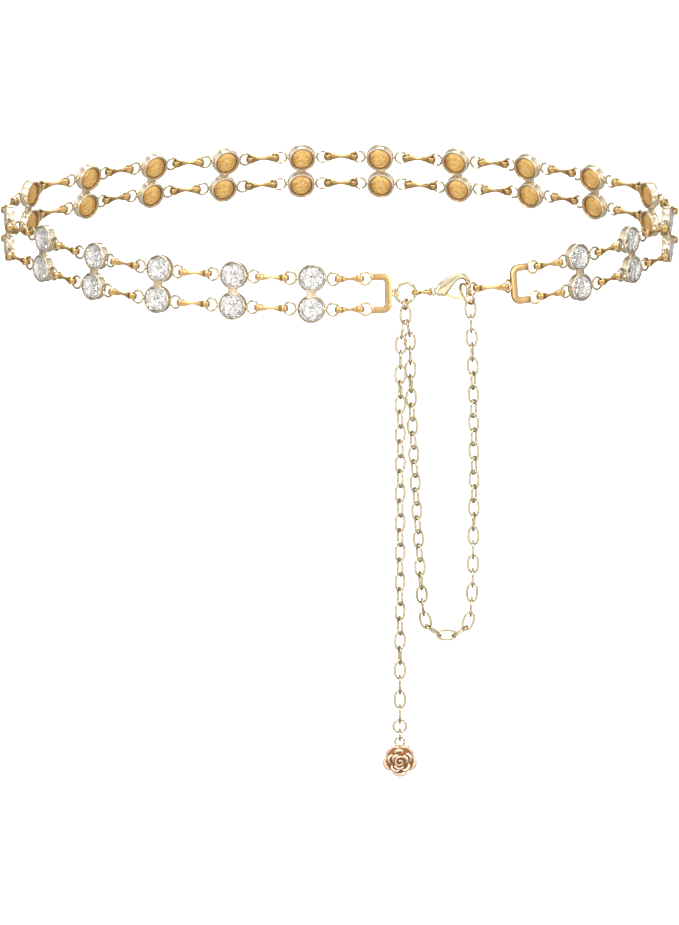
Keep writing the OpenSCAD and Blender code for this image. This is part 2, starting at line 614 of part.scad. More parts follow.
// Its height at share r of the way out: an outer and an inner row of cupped
// petals over a spiral bud.
function cupped(r, mid, wide) = exp(-pow((r - mid) / wide, 2));
function rose_height(r, a) =
    let (outer = 0.42 * cupped(r, 0.84, 0.2) * (0.7 + 0.3 * abs(cos(petals * (a - 90) / 2))),
        inner = 0.66 * cupped(r, 0.5, 0.13) * (0.75 + 0.25 * abs(cos(petals * (a - 54) / 2))),
        bud = cupped(r, 0, 0.3) * (0.82 + 0.18 * cos(a + r * 900)),
        floor_h = 0.3)
    floor_h + max(outer, inner, bud) * 0.7;
rose_rings = 16;
rose_sides = 60;
module rose() {
    front = [for (j = [1 : rose_rings], i = [0 : rose_sides - 1])
        let (a = i * 360 / rose_sides, r = j / rose_rings, e = rose_d / 2 * petal_edge(a) * r)
        [e * cos(a), j == rose_rings ? -rose_t * 0.28 : -rose_t * rose_height(r, a), e * sin(a)]];
    back = [for (i = [0 : rose_sides - 1])
        let (a = i * 360 / rose_sides, e = rose_d / 2 * petal_edge(a) * 0.97)
        [e * cos(a), 0, e * sin(a)]];
    last = (rose_rings - 1) * rose_sides;
    n = rose_rings * rose_sides;
    pts = concat(front, back, [[0, -rose_t * rose_height(0, 0), 0], [0, 0.25, 0]]);
    faces = concat(
        [for (i = [0 : rose_sides - 1]) [n + rose_sides, (i + 1) % rose_sides, i]],
        [for (j = [0 : rose_rings - 2], i = [0 : rose_sides - 1])
            let (p = j * rose_sides, q = (i + 1) % rose_sides) [p + i, p + q, p + rose_sides + q]],
        [for (j = [0 : rose_rings - 2], i = [0 : rose_sides - 1])
            let (p = j * rose_sides, q = (i + 1) % rose_sides)
            [p + i, p + rose_sides + q, p + rose_sides + i]],
        [for (i = [0 : rose_sides - 1])
            let (q = (i + 1) % rose_sides) [last + i, last + q, n + q]],
        [for (i = [0 : rose_sides - 1])
            let (q = (i + 1) % rose_sides) [last + i, n + q, n + i]],
        [for (i = [0 : rose_sides - 1])
            let (q = (i + 1) % rose_sides) [n + i, n + q, n + rose_sides + 1]]);
    polyhedron(points = pts, faces = faces);
}
module rose_pendant() {
    color(pale_gold) {
        translate(bail_at) wire_ring(bail_d, bail_wire);
        translate(rose_at + [0, rose_t * 0.18, 0]) rose();
    }
}

setting(1);  // setting_01
setting(2);  // setting_02
setting(3);  // setting_03
setting(4);  // setting_04
setting(5);  // setting_05
setting(6);  // setting_06
setting(7);  // setting_07
setting(8);  // setting_08
setting(9);  // setting_09
setting(10);  // setting_10
setting(11);  // setting_11
setting(12);  // setting_12
setting(13);  // setting_13
setting(14);  // setting_14
setting(15);  // setting_15
setting(16);  // setting_16
setting(17);  // setting_17
setting(18);  // setting_18
setting(19);  // setting_19
stones(1);  // stones_01
stones(2);  // stones_02
stones(3);  // stones_03
stones(4);  // stones_04
stones(5);  // stones_05
stones(6);  // stones_06
stones(7);  // stones_07
stones(8);  // stones_08
stones(9);  // stones_09
stones(10);  // stones_10
stones(11);  // stones_11
stones(12);  // stones_12
stones(13);  // stones_13
stones(14);  // stones_14
stones(15);  // stones_15
stones(16);  // stones_16
stones(17);  // stones_17
stones(18);  // stones_18
stones(19);  // stones_19
connectors(1);  // connectors_upper
connectors(-1);  // connectors_lower
end_bar_left();
end_bar_right();
jump_ring();
short_connector();
clasp_body();
clasp_lever();
catch_ring();
small_ring();
long_connector();
hanger_ring();
top_link();
chain_swag();
chain_tail();
tail_ring();
drop_ring();
rose_pendant();
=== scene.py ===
"""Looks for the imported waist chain: cups, crystals, bows, links, clasp and rose.

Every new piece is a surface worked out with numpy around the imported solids, in the
same places. Lengths are in millimetres in the formulas, and in metres in Blender.
"""
import json
import math

import bmesh
import bpy
import numpy as np
from bpy.props import FloatProperty, FloatVectorProperty, IntProperty, PointerProperty
from mathutils import Matrix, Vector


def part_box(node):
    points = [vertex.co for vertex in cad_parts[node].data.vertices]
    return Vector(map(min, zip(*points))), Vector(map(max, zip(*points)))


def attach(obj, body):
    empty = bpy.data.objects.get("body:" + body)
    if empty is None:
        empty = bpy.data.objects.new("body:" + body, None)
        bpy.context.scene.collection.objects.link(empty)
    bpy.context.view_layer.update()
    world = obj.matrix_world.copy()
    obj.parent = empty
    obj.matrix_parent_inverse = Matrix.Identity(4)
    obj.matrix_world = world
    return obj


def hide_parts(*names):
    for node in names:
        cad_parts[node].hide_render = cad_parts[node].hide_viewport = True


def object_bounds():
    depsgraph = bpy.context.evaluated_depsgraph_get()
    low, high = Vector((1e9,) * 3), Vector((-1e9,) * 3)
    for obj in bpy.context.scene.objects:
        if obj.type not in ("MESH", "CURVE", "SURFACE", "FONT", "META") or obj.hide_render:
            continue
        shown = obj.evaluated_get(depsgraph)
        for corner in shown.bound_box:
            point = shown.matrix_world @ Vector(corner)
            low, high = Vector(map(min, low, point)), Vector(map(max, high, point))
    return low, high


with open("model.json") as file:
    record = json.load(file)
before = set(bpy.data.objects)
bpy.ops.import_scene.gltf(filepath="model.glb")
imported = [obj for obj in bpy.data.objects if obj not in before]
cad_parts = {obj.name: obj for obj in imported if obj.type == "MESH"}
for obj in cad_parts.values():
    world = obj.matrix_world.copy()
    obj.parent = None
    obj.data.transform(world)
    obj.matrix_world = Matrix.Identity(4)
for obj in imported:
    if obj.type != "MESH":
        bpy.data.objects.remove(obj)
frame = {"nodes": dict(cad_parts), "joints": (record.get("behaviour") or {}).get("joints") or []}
cad_box = [list(corner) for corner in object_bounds()]

bl_info = {
    "name": "Waist chain looks",
    "version": (1, 0, 0),
    "blender": (4, 5, 0),
    "location": "3D View > Sidebar > Waist chain",
    "description": "Dresses the packed waist chain in plated brass and foiled crystal",
    "category": "Add Mesh",
}

MM = 0.001
TURN = 2 * math.pi
STATIONS = sum(name.startswith("setting_") for name in frame["nodes"])

# Fixed sizes of the double cups, in millimetres. The rolled lip stands out from the
# wall and is as wide as given. The stone lies on a ledge, which stands so far above
# the cup's back and is as wide as given, with a little room. The stone's edge stays
# behind the cup's front, and the side rings and the neck lie further behind it.
LIP_OUT, LIP_WIDE = 0.15, 0.42
LEDGE_HIGH, LEDGE_WIDE = 2.15, 0.52
STONE_ROOM, STONE_BEHIND = 0.12, 0.75
RINGS_BEHIND = 0.9
CUP_STEPS = 56
# How far the outside of a ring is soldered into an end bar.
SOLDERED = 0.3


def linear(code):
    """The linear colour of an sRGB hex value such as #d9b56a."""
    part = np.array([int(code[i:i + 2], 16) for i in (1, 3, 5)]) / 255
    return tuple(np.where(part <= 0.04045, part / 12.92, ((part + 0.055) / 1.055) ** 2.4))


def length(name, description, millimetres, low, high):
    """A length property in metres, written down in millimetres."""
    return FloatProperty(name=name, description=description, default=millimetres * MM,
                         min=low * MM, max=high * MM, precision=5,
                         subtype="DISTANCE", unit="LENGTH")


def colour(name, description, code):
    """A colour property whose default is an sRGB hex value."""
    return FloatVectorProperty(name=name, description=description, size=3, min=0, max=1,
                               default=linear(code), subtype="COLOR")


def share(name, description, value, low=0.0, high=1.0):
    """A plain number with its range."""
    return FloatProperty(name=name, description=description, default=value, min=low, max=high)


class CupSizes(bpy.types.PropertyGroup):
    """Sizes of the double cups and of the rings and necks soldered to them."""
    diameter: length("Cup diameter", "Outside diameter of one round cup", 9.9, 9, 12)
    depth: length("Cup depth", "Depth of a cup, front rim to back rim", 3.2, 2.8, 4)
    wall: length("Cup wall", "Thickness of the cup's wall", 0.4, 0.3, 0.6)
    row_gap: length("Row distance", "Distance between the two rows of cups", 11.1, 10.8, 14)
    ring: length("Side ring", "Outside diameter of the rings beside the cups", 5.3, 5.2, 6.5)
    ring_wire: length("Side ring wire", "Wire of the rings beside the cups", 0.8, 0.7, 0.9)
    peg: length("Peg", "Solder peg between a cup and its ring", 0.3, 0.2, 1)
    neck: length("Neck width", "Width of the neck between the two cups", 4.0, 3, 5)


class StoneSizes(bpy.types.PropertyGroup):
    """The cut of the crystals."""
    mains: IntProperty(name="Main facets", description="Main facets round the crown",
                       default=16, min=8, max=20)
    table: share("Table", "Table's width as a share of the stone's", 0.5, 0.4, 0.65)
    crown: length("Crown height", "Height of the crown above the edge", 1.15, 0.8, 1.4)
    pavilion: length("Pavilion depth", "Depth of the point below the edge", 1.55, 1, 1.8)


class BowSizes(bpy.types.PropertyGroup):
    """The folded connectors between the rings."""
    strip: length("Strip", "Thickness of the folded strip", 0.6, 0.5, 0.65)
    waist: length("Waist height", "Height of a connector in its middle", 0.85, 0.7, 1.4)
    eye: length("Eye", "Hole at each end of a connector", 1.95, 1.85, 2.05)
    fullness: share("Fullness", "Height of the rounded ends beside the packed ones",
                    1.22, 1, 1.3)


class ChainSizes(bpy.types.PropertyGroup):
    """The oval links of the hanging loop and the tail."""
    squareness: share("Squareness", "2 is an ellipse, more has fuller ends", 2.35, 2, 4)
    round_steps: IntProperty(name="Wire sides", description="Flats round the wire before "
                             "smooth shading", default=10, min=6, max=24)


class RoseSizes(bpy.types.PropertyGroup):
    """The cast rose."""
    diameter: length("Rose diameter", "Diameter over the outer petals", 12.4, 10, 18)
    thickness: length("Rose thickness", "Thickness in the middle", 3.4, 2.6, 5)
    petals: IntProperty(name="Petals", description="Petals in each row", default=5,
                        min=4, max=7)


class Finishes(bpy.types.PropertyGroup):
    """Colours and gloss of the plated brass and the crystals."""
    gold: colour("Gold plate", "Connectors, lever, catch ring, bars' rings", "#ecd09c")
    link: colour("Link plate", "Oval links, cup rings and the other rings", "#d5c7a2")
    cup: colour("Cup plate", "Double cups", "#f3e5cb")
    warm: colour("Warm plate", "Small ring in the jump ring", "#e9b797")
    pale: colour("Pale gold plate", "Clasp", "#e8dab2")
    bar: colour("Satin gold plate", "End bars", "#cdaa76")
    rose: colour("Rose gold plate", "Cast rose", "#f9dcc0")
    lacquer: colour("Gold lacquer", "Back of the foiled stones", "#ffd080")
    foil: colour("Silver foil", "Inside of the foiled stones", "#fbfaf8")
    glass: colour("Crystal", "Body colour of the stones", "#fffefc")
    polish: share("Polish", "Roughness of the polished plate", 0.13)


class StageSizes(bpy.types.PropertyGroup):
    """Camera, lights and floor."""
    tilt: FloatProperty(name="Camera tilt", description="How far the camera looks down",
                        default=math.radians(17.4), subtype="ANGLE", unit="ROTATION")
    distance: FloatProperty(name="Camera distance", description="A long way off, as the "
                            "photograph shows hardly any perspective", default=6.0,
                            min=2, max=12, subtype="DISTANCE", unit="LENGTH")
    pixels_per_mm: share("Pixels per millimetre", "Size of the chain in the picture",
                         2.73, 1, 10)
    floor_drop: length("Floor drop", "Room between the rose and the floor", 90, 10, 500)
    shade: share("Shade", "How bright the floor is where metal mirrors it", 0.32)


class WaistChain(bpy.types.PropertyGroup):
    """All sizes and finishes of the waist chain."""
    cups: PointerProperty(type=CupSizes)
    stones: PointerProperty(type=StoneSizes)
    bows: PointerProperty(type=BowSizes)
    chain: PointerProperty(type=ChainSizes)
    rose: PointerProperty(type=RoseSizes)
    finishes: PointerProperty(type=Finishes)
    stage: PointerProperty(type=StageSizes)


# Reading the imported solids

def unit(vector):
    """A vector, or rows of vectors, at length one."""
    vector = np.asarray(vector, float)
    return vector / np.linalg.norm(vector, axis=-1, keepdims=True)


def loose_solids(node):
    """The points, in millimetres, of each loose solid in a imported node.

    Points at one place are one point. Each takes the lowest label in its triangles
    until no label changes, and points with one label are one solid."""
    mesh = frame["nodes"][node].data
    points = np.empty(len(mesh.vertices) * 3)
    mesh.vertices.foreach_get("co", points)
    points = points.reshape(-1, 3) / MM
    mesh.calc_loop_triangles()
    corners = np.empty(len(mesh.loop_triangles) * 3, int)
    mesh.loop_triangles.foreach_get("vertices", corners)
    _, first, same = np.unique(np.round(points, 4), axis=0, return_index=True,
                               return_inverse=True)
    points = points[first]
    corners = same.ravel()[corners].reshape(-1, 3)
    labels = np.arange(len(points))
    while True:
        lowest = labels.copy()
        np.minimum.at(lowest, corners.ravel(), np.repeat(labels[corners].min(1), 3))
        lowest = lowest[lowest]
        if (lowest == labels).all():
            break
        labels = lowest
    return [points[labels == label] for label in np.unique(labels)]


def principal_frame(points):
    """Centre, axes and extents of a symmetric solid, longest spread first.

    The axes are the eigenvectors of the points' covariance, and the centre is
    the middle of the points' range along each axis."""
    middle = points.mean(0)
    axes = np.linalg.eigh(np.cov((points - middle).T))[1][:, ::-1].T
    reach = (points - middle) @ axes.T
    low, high = reach.min(0), reach.max(0)
    return middle + (low + high) / 2 @ axes, axes, high - low


# Making surfaces

def along(direction, path):
    """One direction, given at every point of a path."""
    return np.broadcast_to(np.array(direction, float), path.shape)


def surface(points, loop_u=False, loop_v=False):
    """A grid of points as (points, four-cornered faces between rows and columns)."""
    rows, columns = points.shape[:2]
    u = np.arange(rows if loop_u else rows - 1)[:, None]
    v = np.arange(columns if loop_v else columns - 1)[None, :]
    corners = [u * columns + v, u * columns + (v + 1) % columns,
               (u + 1) % rows * columns + (v + 1) % columns, (u + 1) % rows * columns + v]
    faces = np.stack(np.broadcast_arrays(*corners), -1).reshape(-1, 4)
    return points.reshape(-1, 3), faces


def swept(path, side, up, profile, loop=False):
    """A closed profile carried along a path: path + side * x + up * y.

    The profile is (columns, 2), or (rows, columns, 2) where it changes on the way.
    An open path gets its ends closed by a last row drawn in to the path."""
    profile = np.broadcast_to(profile, (len(path),) + np.shape(profile)[-2:])
    points = (path[:, None] + side[:, None] * profile[..., :1]
              + up[:, None] * profile[..., 1:])
    if not loop:
        start, end = points[:1].mean(1, keepdims=True), points[-1:].mean(1, keepdims=True)
        points = np.concatenate([np.broadcast_to(start, points[:1].shape), points,
                                 np.broadcast_to(end, points[:1].shape)])
    return surface(points, loop, True)


def copies(shape, frames):
    """The shape once in each frame of (origin, x axis, y axis, z axis)."""
    points, faces = shape
    origins = np.array([f[0] for f in frames])
    axes = np.array([f[1:4] for f in frames])
    placed = origins[:, None] + np.einsum("pc,kcd->kpd", points, axes)
    step = np.arange(len(frames))[:, None, None] * len(points)
    return placed.reshape(-1, 3), (faces[None] + step).reshape(-1, faces.shape[1])


def oval(across, high, power=2.0, steps=16, phase=0.0):
    """A superellipse: |x / a|^p + |y / b|^p = 1 in even steps of angle."""
    angle = (np.arange(steps) + phase) * TURN / steps
    c, s = np.cos(angle), np.sin(angle)
    return np.stack([across / 2 * np.sign(c) * abs(c) ** (2 / power),
                     high / 2 * np.sign(s) * abs(s) ** (2 / power)], -1)


def smooth_path(knots, steps, loop=False):
    """Catmull-Rom: each span is the cubic through its two knots whose slopes there
    are half the step between the neighbouring knots."""
    knots = np.asarray(knots, float)
    n = len(knots)
    spans = n if loop else n - 1
    t = np.linspace(0, spans, steps, endpoint=not loop)
    i = np.minimum(t.astype(int), spans - 1)
    t = (t - i)[:, None]
    pick = (lambda k: knots[k % n]) if loop else (lambda k: knots[np.clip(k, 0, n - 1)])
    a, b, c, d = pick(i - 1), pick(i), pick(i + 1), pick(i + 2)
    return 0.5 * (2 * b + (c - a) * t + (2 * a - 5 * b + 4 * c - d) * t ** 2
                  + (3 * b - a - 3 * c + d) * t ** 3)


def ring_shape(middle_radius, wire, steps=40, sides=12, seam=0.0):
    """A wire ring in its X-Z plane: a circle carried round a circle. With a seam,
    the ring stays open by that much, as a jump ring is."""
    gap = seam / middle_radius
    angle = np.linspace(gap / 2, TURN - gap / 2, steps, endpoint=seam > 0)
    out = np.stack([np.sin(angle), 0 * angle, np.cos(angle)], -1)
    return swept(out * middle_radius, out, along((0, 1, 0), out),
                 oval(wire, wire, steps=sides), seam == 0)


def piece(name, parts, replaced, body, smooth_angle=35.0):
    """Joins shapes into one object that rides on a body and stands for its nodes.

    Each part is (shape, material, hollow), and hollow says how far a point lies in
    a hollow that polishing doesn't reach, from 0 to 1. There the gloss is duller,
    and the colour is painted darker, as shade."""
    materials, points, faces, marks, hollows, count = [], [], [], [], [], 0
    for (part_points, part_faces), material, hollow in parts:
        if material not in materials:
            materials.append(material)
        points.append(part_points)
        faces += (part_faces + count).tolist()
        marks += [materials.index(material)] * len(part_faces)
        hollows.append(np.broadcast_to(hollow, len(part_points)))
        count += len(part_points)
    mesh = bpy.data.meshes.new(name)
    mesh.from_pydata((np.concatenate(points) * MM).tolist(), [], faces)
    mesh.polygons.foreach_set("material_index", marks)
    # The hollow attribute carries painted shade, and a duller gloss, to the materials.
    mesh.attributes.new("hollow", "FLOAT", "POINT").data.foreach_set(
        "value", np.concatenate(hollows).astype(np.float32))
    for material in materials:
        mesh.materials.append(material)
    work = bmesh.new()
    work.from_mesh(mesh)
    bmesh.ops.remove_doubles(work, verts=work.verts, dist=2e-7)
    bmesh.ops.dissolve_degenerate(work, edges=work.edges, dist=1e-8)
    bmesh.ops.recalc_face_normals(work, faces=work.faces)
    work.to_mesh(mesh)
    work.free()
    mesh.shade_smooth()
    mesh.set_sharp_from_angle(angle=math.radians(smooth_angle))
    obj = bpy.data.objects.new(name, mesh)
    bpy.context.scene.collection.objects.link(obj)
    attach(obj, body)
    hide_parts(*replaced)
    return obj


# Materials

def finishes():
    """The colours and gloss chosen in the panel's properties."""
    return bpy.context.scene.waist_chain.finishes


def add(tree, kind, inputs=(), **settings):
    """Adds a node with its settings. An input is given a value or linked to an output."""
    made = tree.nodes.new(kind)
    for key, value in settings.items():
        setattr(made, key, value)
    for key, value in dict(inputs).items():
        if isinstance(value, bpy.types.NodeSocket):
            tree.links.new(value, made.inputs[key])
        else:
            made.inputs[key].default_value = value
    return made


def new_material(name):
    """A material whose node tree is still empty."""
    made = bpy.data.materials.new(name)
    made.use_nodes = True
    made.node_tree.nodes.clear()
    return made, made.node_tree


def plate(name, base, roughness, patch_mm=1.5, grain_mm=0.12, grain=0.05,
          stretch=(1, 1, 1), edge="#a29584", drift=(0.93, 1.04),
          depth=(0.66, 0.53, 0.38), metallic=1.0):
    """Plated brass. The colour drifts between two shares over patches, fine grain
    bends the gloss, and hollows get a duller gloss and painted shade: there the colour
    is the base times the three shares of depth. The edge colour tints what the metal
    mirrors at a low angle.

    A polished plate's real grain is finer than 0.02 mm. It is drawn coarser, so that
    it shows."""
    if name in bpy.data.materials:
        return bpy.data.materials[name]
    made, tree = new_material(name)
    place = add(tree, "ShaderNodeTexCoord").outputs["Object"]
    patches = add(tree, "ShaderNodeTexNoise",
                  {"Vector": place, "Scale": 1 / (patch_mm * MM), "Detail": 2.0})
    drawn = add(tree, "ShaderNodeMapping", {"Vector": place, "Scale": stretch})
    grains = add(tree, "ShaderNodeTexNoise",
                 {"Vector": drawn.outputs[0], "Scale": 1 / (grain_mm * MM), "Detail": 3.0})
    tone = add(tree, "ShaderNodeValToRGB", {"Fac": patches.outputs["Fac"]})
    tone.color_ramp.elements[0].position, tone.color_ramp.elements[1].position = 0.3, 0.7
    for end, share_of in zip(tone.color_ramp.elements, drift):
        end.color = (*np.minimum(np.array(base) * share_of, 1), 1)
    # Painted shade: where the hollow attribute is high, the colour turns to the base times the
    # shares of depth, and the gloss gets duller.
    hollow = add(tree, "ShaderNodeAttribute", attribute_name="hollow")
    skin = add(tree, "ShaderNodeMix", {0: hollow.outputs["Fac"], 6: tone.outputs["Color"],
                                       7: (*np.array(base) * depth, 1)},
               data_type="RGBA")
    dull = add(tree, "ShaderNodeMapRange", {
        "Value": grains.outputs["Fac"], "From Min": 0.3, "From Max": 0.7,
        "To Min": roughness * 0.8, "To Max": roughness * 1.25})
    duller = add(tree, "ShaderNodeMath", {0: hollow.outputs["Fac"], 1: 0.2,
                                          2: dull.outputs["Result"]},
                 operation="MULTIPLY_ADD")
    bump = add(tree, "ShaderNodeBump", {"Height": grains.outputs["Fac"], "Strength": grain,
                                        "Distance": 0.02 * MM})
    shader = add(tree, "ShaderNodeBsdfPrincipled", {
        "Base Color": skin.outputs[2], "Metallic": metallic,
        "Specular Tint": (*linear(edge), 1),
        "Roughness": duller.outputs[0], "Normal": bump.outputs[0]})
    add(tree, "ShaderNodeOutputMaterial", {"Surface": shader.outputs[0]})
    return made


def gold():
    """Gold-plated brass, barrel polished: warm, with soft-edged highlights."""
    return plate("gold_plated_brass", finishes().gold, finishes().polish)


def link_plate():
    """Brass wire, drawn and thinly plated, barrel polished: grey gold, nearly bare."""
    return plate("link_plated_brass", finishes().link, finishes().polish)


def cup_plate():
    """Pressed brass cups, very pale plate, polished: white, with a warm rim. The
    plate is thin and scatters a part of the light, so it is not all metallic."""
    return plate("cup_plated_brass", finishes().cup, finishes().polish * 0.9,
                 edge="#bcafa0", depth=(0.5, 0.42, 0.33), metallic=0.75)


def warm():
    """Rose-gold-plated brass wire, polished: a peach tone beside the yellow gold."""
    return plate("rose_gold_plated_brass", finishes().warm, finishes().polish)


def pale():
    """Pale-gold-plated brass, polished: nearly white where it mirrors the studio."""
    return plate("pale_gold_plated_brass", finishes().pale, finishes().polish * 0.9)


def satin():
    """Satin gold-plated brass strip, brushed along its height: broad soft gloss."""
    return plate("satin_gold_plated_brass", finishes().bar, 0.3, grain_mm=0.1, grain=0.12,
                 stretch=(1, 1, 0.12))


def cast():
    """Rose-gold-plated casting, polished on its ridges and matt between petals, and
    painted darker between petals as shade, which reads as light petal edges round dark hollows."""
    return plate("rose_gold_plated_casting", finishes().rose, 0.2, grain_mm=0.25,
                 grain=0.12, depth=(0.4, 0.25, 0.15), metallic=0.8)


def crystal():
    """Lead-free crystal glass, wheel polished: clear, with traces of polishing."""
    if "crystal_glass" in bpy.data.materials:
        return bpy.data.materials["crystal_glass"]
    made, tree = new_material("crystal_glass")
    place = add(tree, "ShaderNodeTexCoord").outputs["Object"]
    marks = add(tree, "ShaderNodeTexNoise", {"Vector": place, "Scale": 1 / (0.3 * MM),
                                             "Detail": 2.0})
    gloss = add(tree, "ShaderNodeMapRange", {"Value": marks.outputs["Fac"],
                                             "To Min": 0.0, "To Max": 0.03})
    shader = add(tree, "ShaderNodeBsdfPrincipled", {
        "Base Color": (*finishes().glass, 1), "Roughness": gloss.outputs["Result"],
        "IOR": 1.56, "Transmission Weight": 1.0})
    add(tree, "ShaderNodeOutputMaterial", {"Surface": shader.outputs[0]})
    return made


def foil():
    """Silver foil on the pavilion, vacuum coated: a bright mirror, a little crinkled."""
    return plate("silver_foil", finishes().foil, 0.1, patch_mm=0.8, grain_mm=0.5,
                 grain=0.08, edge="#ffffff", metallic=0.7)


def lacquer():
    """Gold lacquer brushed over the foil: deep yellow, with an orange-peel skin."""
    # Its depth shares set how dark the painted shade at the left and right of the disc is.
    return plate("gold_foil_lacquer", finishes().lacquer, 0.24, patch_mm=1.0,
                 grain_mm=0.45, grain=0.35, drift=(0.7, 1.0), depth=(0.5, 0.3, 0.15),
                 metallic=0.5)


# Where the cups stand

def cup_frames():
    """The (origin, along, out, up) of each double cup, from its packed stones.

    Up runs from the lower stone to the upper, out is the thin way of a stone turned
    away from the waist, and the table stands a known way in front of the origin."""
    sizes = bpy.context.scene.waist_chain
    table_at = (sizes.cups.depth / MM / 2 - STONE_BEHIND + STONE_ROOM
                + sizes.stones.crown / MM)
    frames = []
    for number in range(1, STATIONS + 1):
        low, high = sorted(loose_solids(f"stones_{number:02d}"),
                           key=lambda points: points[:, 2].mean())
        low_at, high_at = principal_frame(low)[0], principal_frame(high)[0]
        middle = (low_at + high_at) / 2
        up = unit(high_at - low_at)
        out = principal_frame(high)[1][2]
        out = unit(out - up * (out @ up))
        out *= np.sign(out @ (middle * (1, 1, 0)))
        front = (np.concatenate([low, high]) @ out).max()
        middle = middle + out * (front - table_at - middle @ out)
        frames.append((middle, np.cross(out, up), out, up))
    return frames


def both_rows(frames, spacing):
    """Each frame twice, moved half the spacing up and down its own height."""
    return [(f[0] + f[3] * way * spacing / 2, *f[1:]) for f in frames for way in (1, -1)]


def turned_profile(profile, steps):
    """A profile of (radius, way out) carried round the Y axis."""
    angle = np.arange(steps) * TURN / steps
    radius, way = np.asarray(profile, float).T
    return surface(np.stack([radius * np.cos(angle)[:, None],
                             np.broadcast_to(way, (steps, len(way))),
                             radius * np.sin(angle)[:, None]], -1), True, True)


class WAIST_OT_cups(bpy.types.Operator):
    """Makes the double cups with their necks, pegs and side rings"""
    bl_idname = "waist.cups"
    bl_label = "Cups"

    def execute(self, context):
        """One piece for each station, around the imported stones."""
        s = context.scene.waist_chain.cups
        radius, depth, wall = s.diameter / MM / 2, s.depth / MM, s.wall / MM
        back, ledge = -depth / 2, -depth / 2 + LEDGE_HIGH
        inner, seat = radius - wall, radius - wall - LEDGE_WIDE
        lip, front = radius + LIP_OUT, depth / 2
        # The cup's section, out and forwards from the back, over the lip and in again.
        # Columns: radius, way out, how far the point lies in a hollow, where shade is painted,
        # darkest on the ledge and the inner wall.
        section = np.array([
            (radius - 0.28, back, 0), (radius - 0.1, back + 0.06, 0),
            (radius, back + 0.22, 0), (radius, ledge + 0.1, 0),
            (radius + 0.03, ledge + 0.22, 0.5), (lip, ledge + 0.34, 0.2),
            (lip, front - 0.46, 0.3), (lip - 0.05, front - 0.32, 0.5),
            (lip - 0.2, front - 0.12, 0.4), (lip - 0.28, front - 0.03, 0),
            (lip - 0.36, front, 0), (lip - 0.4, front - 0.1, 0.3),
            (lip - LIP_WIDE, ledge + 0.3, 0.8), (inner, ledge, 1), (seat, ledge, 1),
            (seat, back + 0.45, 0.8), (inner, back + 0.45, 0.7), (inner, back + 0.12, 0.3),
            (inner + 0.05, back, 0)])
        hollow = np.tile(section[:, 2], CUP_STEPS)
        cup = turned_profile(section[:, :2], CUP_STEPS)
        ring_out, ring_wire = s.ring / MM / 2, s.ring_wire / MM
        reach = radius + s.peg / MM + ring_out
        ring_back = front - RINGS_BEHIND
        ring = ring_shape(ring_out - ring_wire / 2, ring_wire, 36, 10)
        # The peg starts in the wall, ends in the ring's wire and flares at both ends
        # like a solder fillet.
        in_wall = wall * 0.7
        way = np.linspace(0, 1, 9)
        flare = 0.5 + 0.28 * (2 * way - 1) ** 4
        span = s.peg / MM + in_wall + ring_wire / 2
        path = np.stack([way * span, 0 * way, 0 * way], -1)
        peg = swept(path, along((0, 1, 0), path), along((0, 0, 1), path),
                    oval(2, 2, steps=14) * flare[:, None, None])
        # The neck is a bar whose width grows by a fillet where it meets each cup.
        neck_wide, neck_thick = s.neck / MM, 1.4
        tall = s.row_gap / MM - 2 * math.sqrt(radius ** 2 - (neck_wide / 2) ** 2) + 2 * wall
        way = np.linspace(-1, 1, 15)
        wide = neck_wide * (0.86 + 0.3 * abs(way) ** 3)
        path = np.stack([0 * way, 0 * way + ring_back, way * tall / 2], -1)
        neck = swept(path, along((1, 0, 0), path), along((0, 1, 0), path),
                     oval(1, 1, 4, 28) * np.stack([wide, 0 * wide + neck_thick], -1)[:, None])
        for number, place in enumerate(cup_frames(), 1):
            cups = both_rows([place], s.row_gap / MM)
            rings = [(f[0] + f[1] * side * reach + f[2] * ring_back, *f[1:])
                     for f in cups for side in (-1, 1)]
            pegs = [(f[0] + f[1] * side * (radius - in_wall) + f[2] * ring_back,
                     f[1] * side, f[2], f[3] * side) for f in cups for side in (-1, 1)]
            # Painted shade also lies on the pegs (0.3) and on the neck behind the cups (0.6).
            piece(f"cups_{number:02d}",
                  [(copies(cup, cups), cup_plate(), np.tile(hollow, 2)),
                   (copies(ring, rings), link_plate(), 0),
                   (copies(peg, pegs), cup_plate(), 0.3),
                   (copies(neck, [place]), cup_plate(), 0.6)],
                  [f"setting_{number:02d}"], "chain")
        return {"FINISHED"}


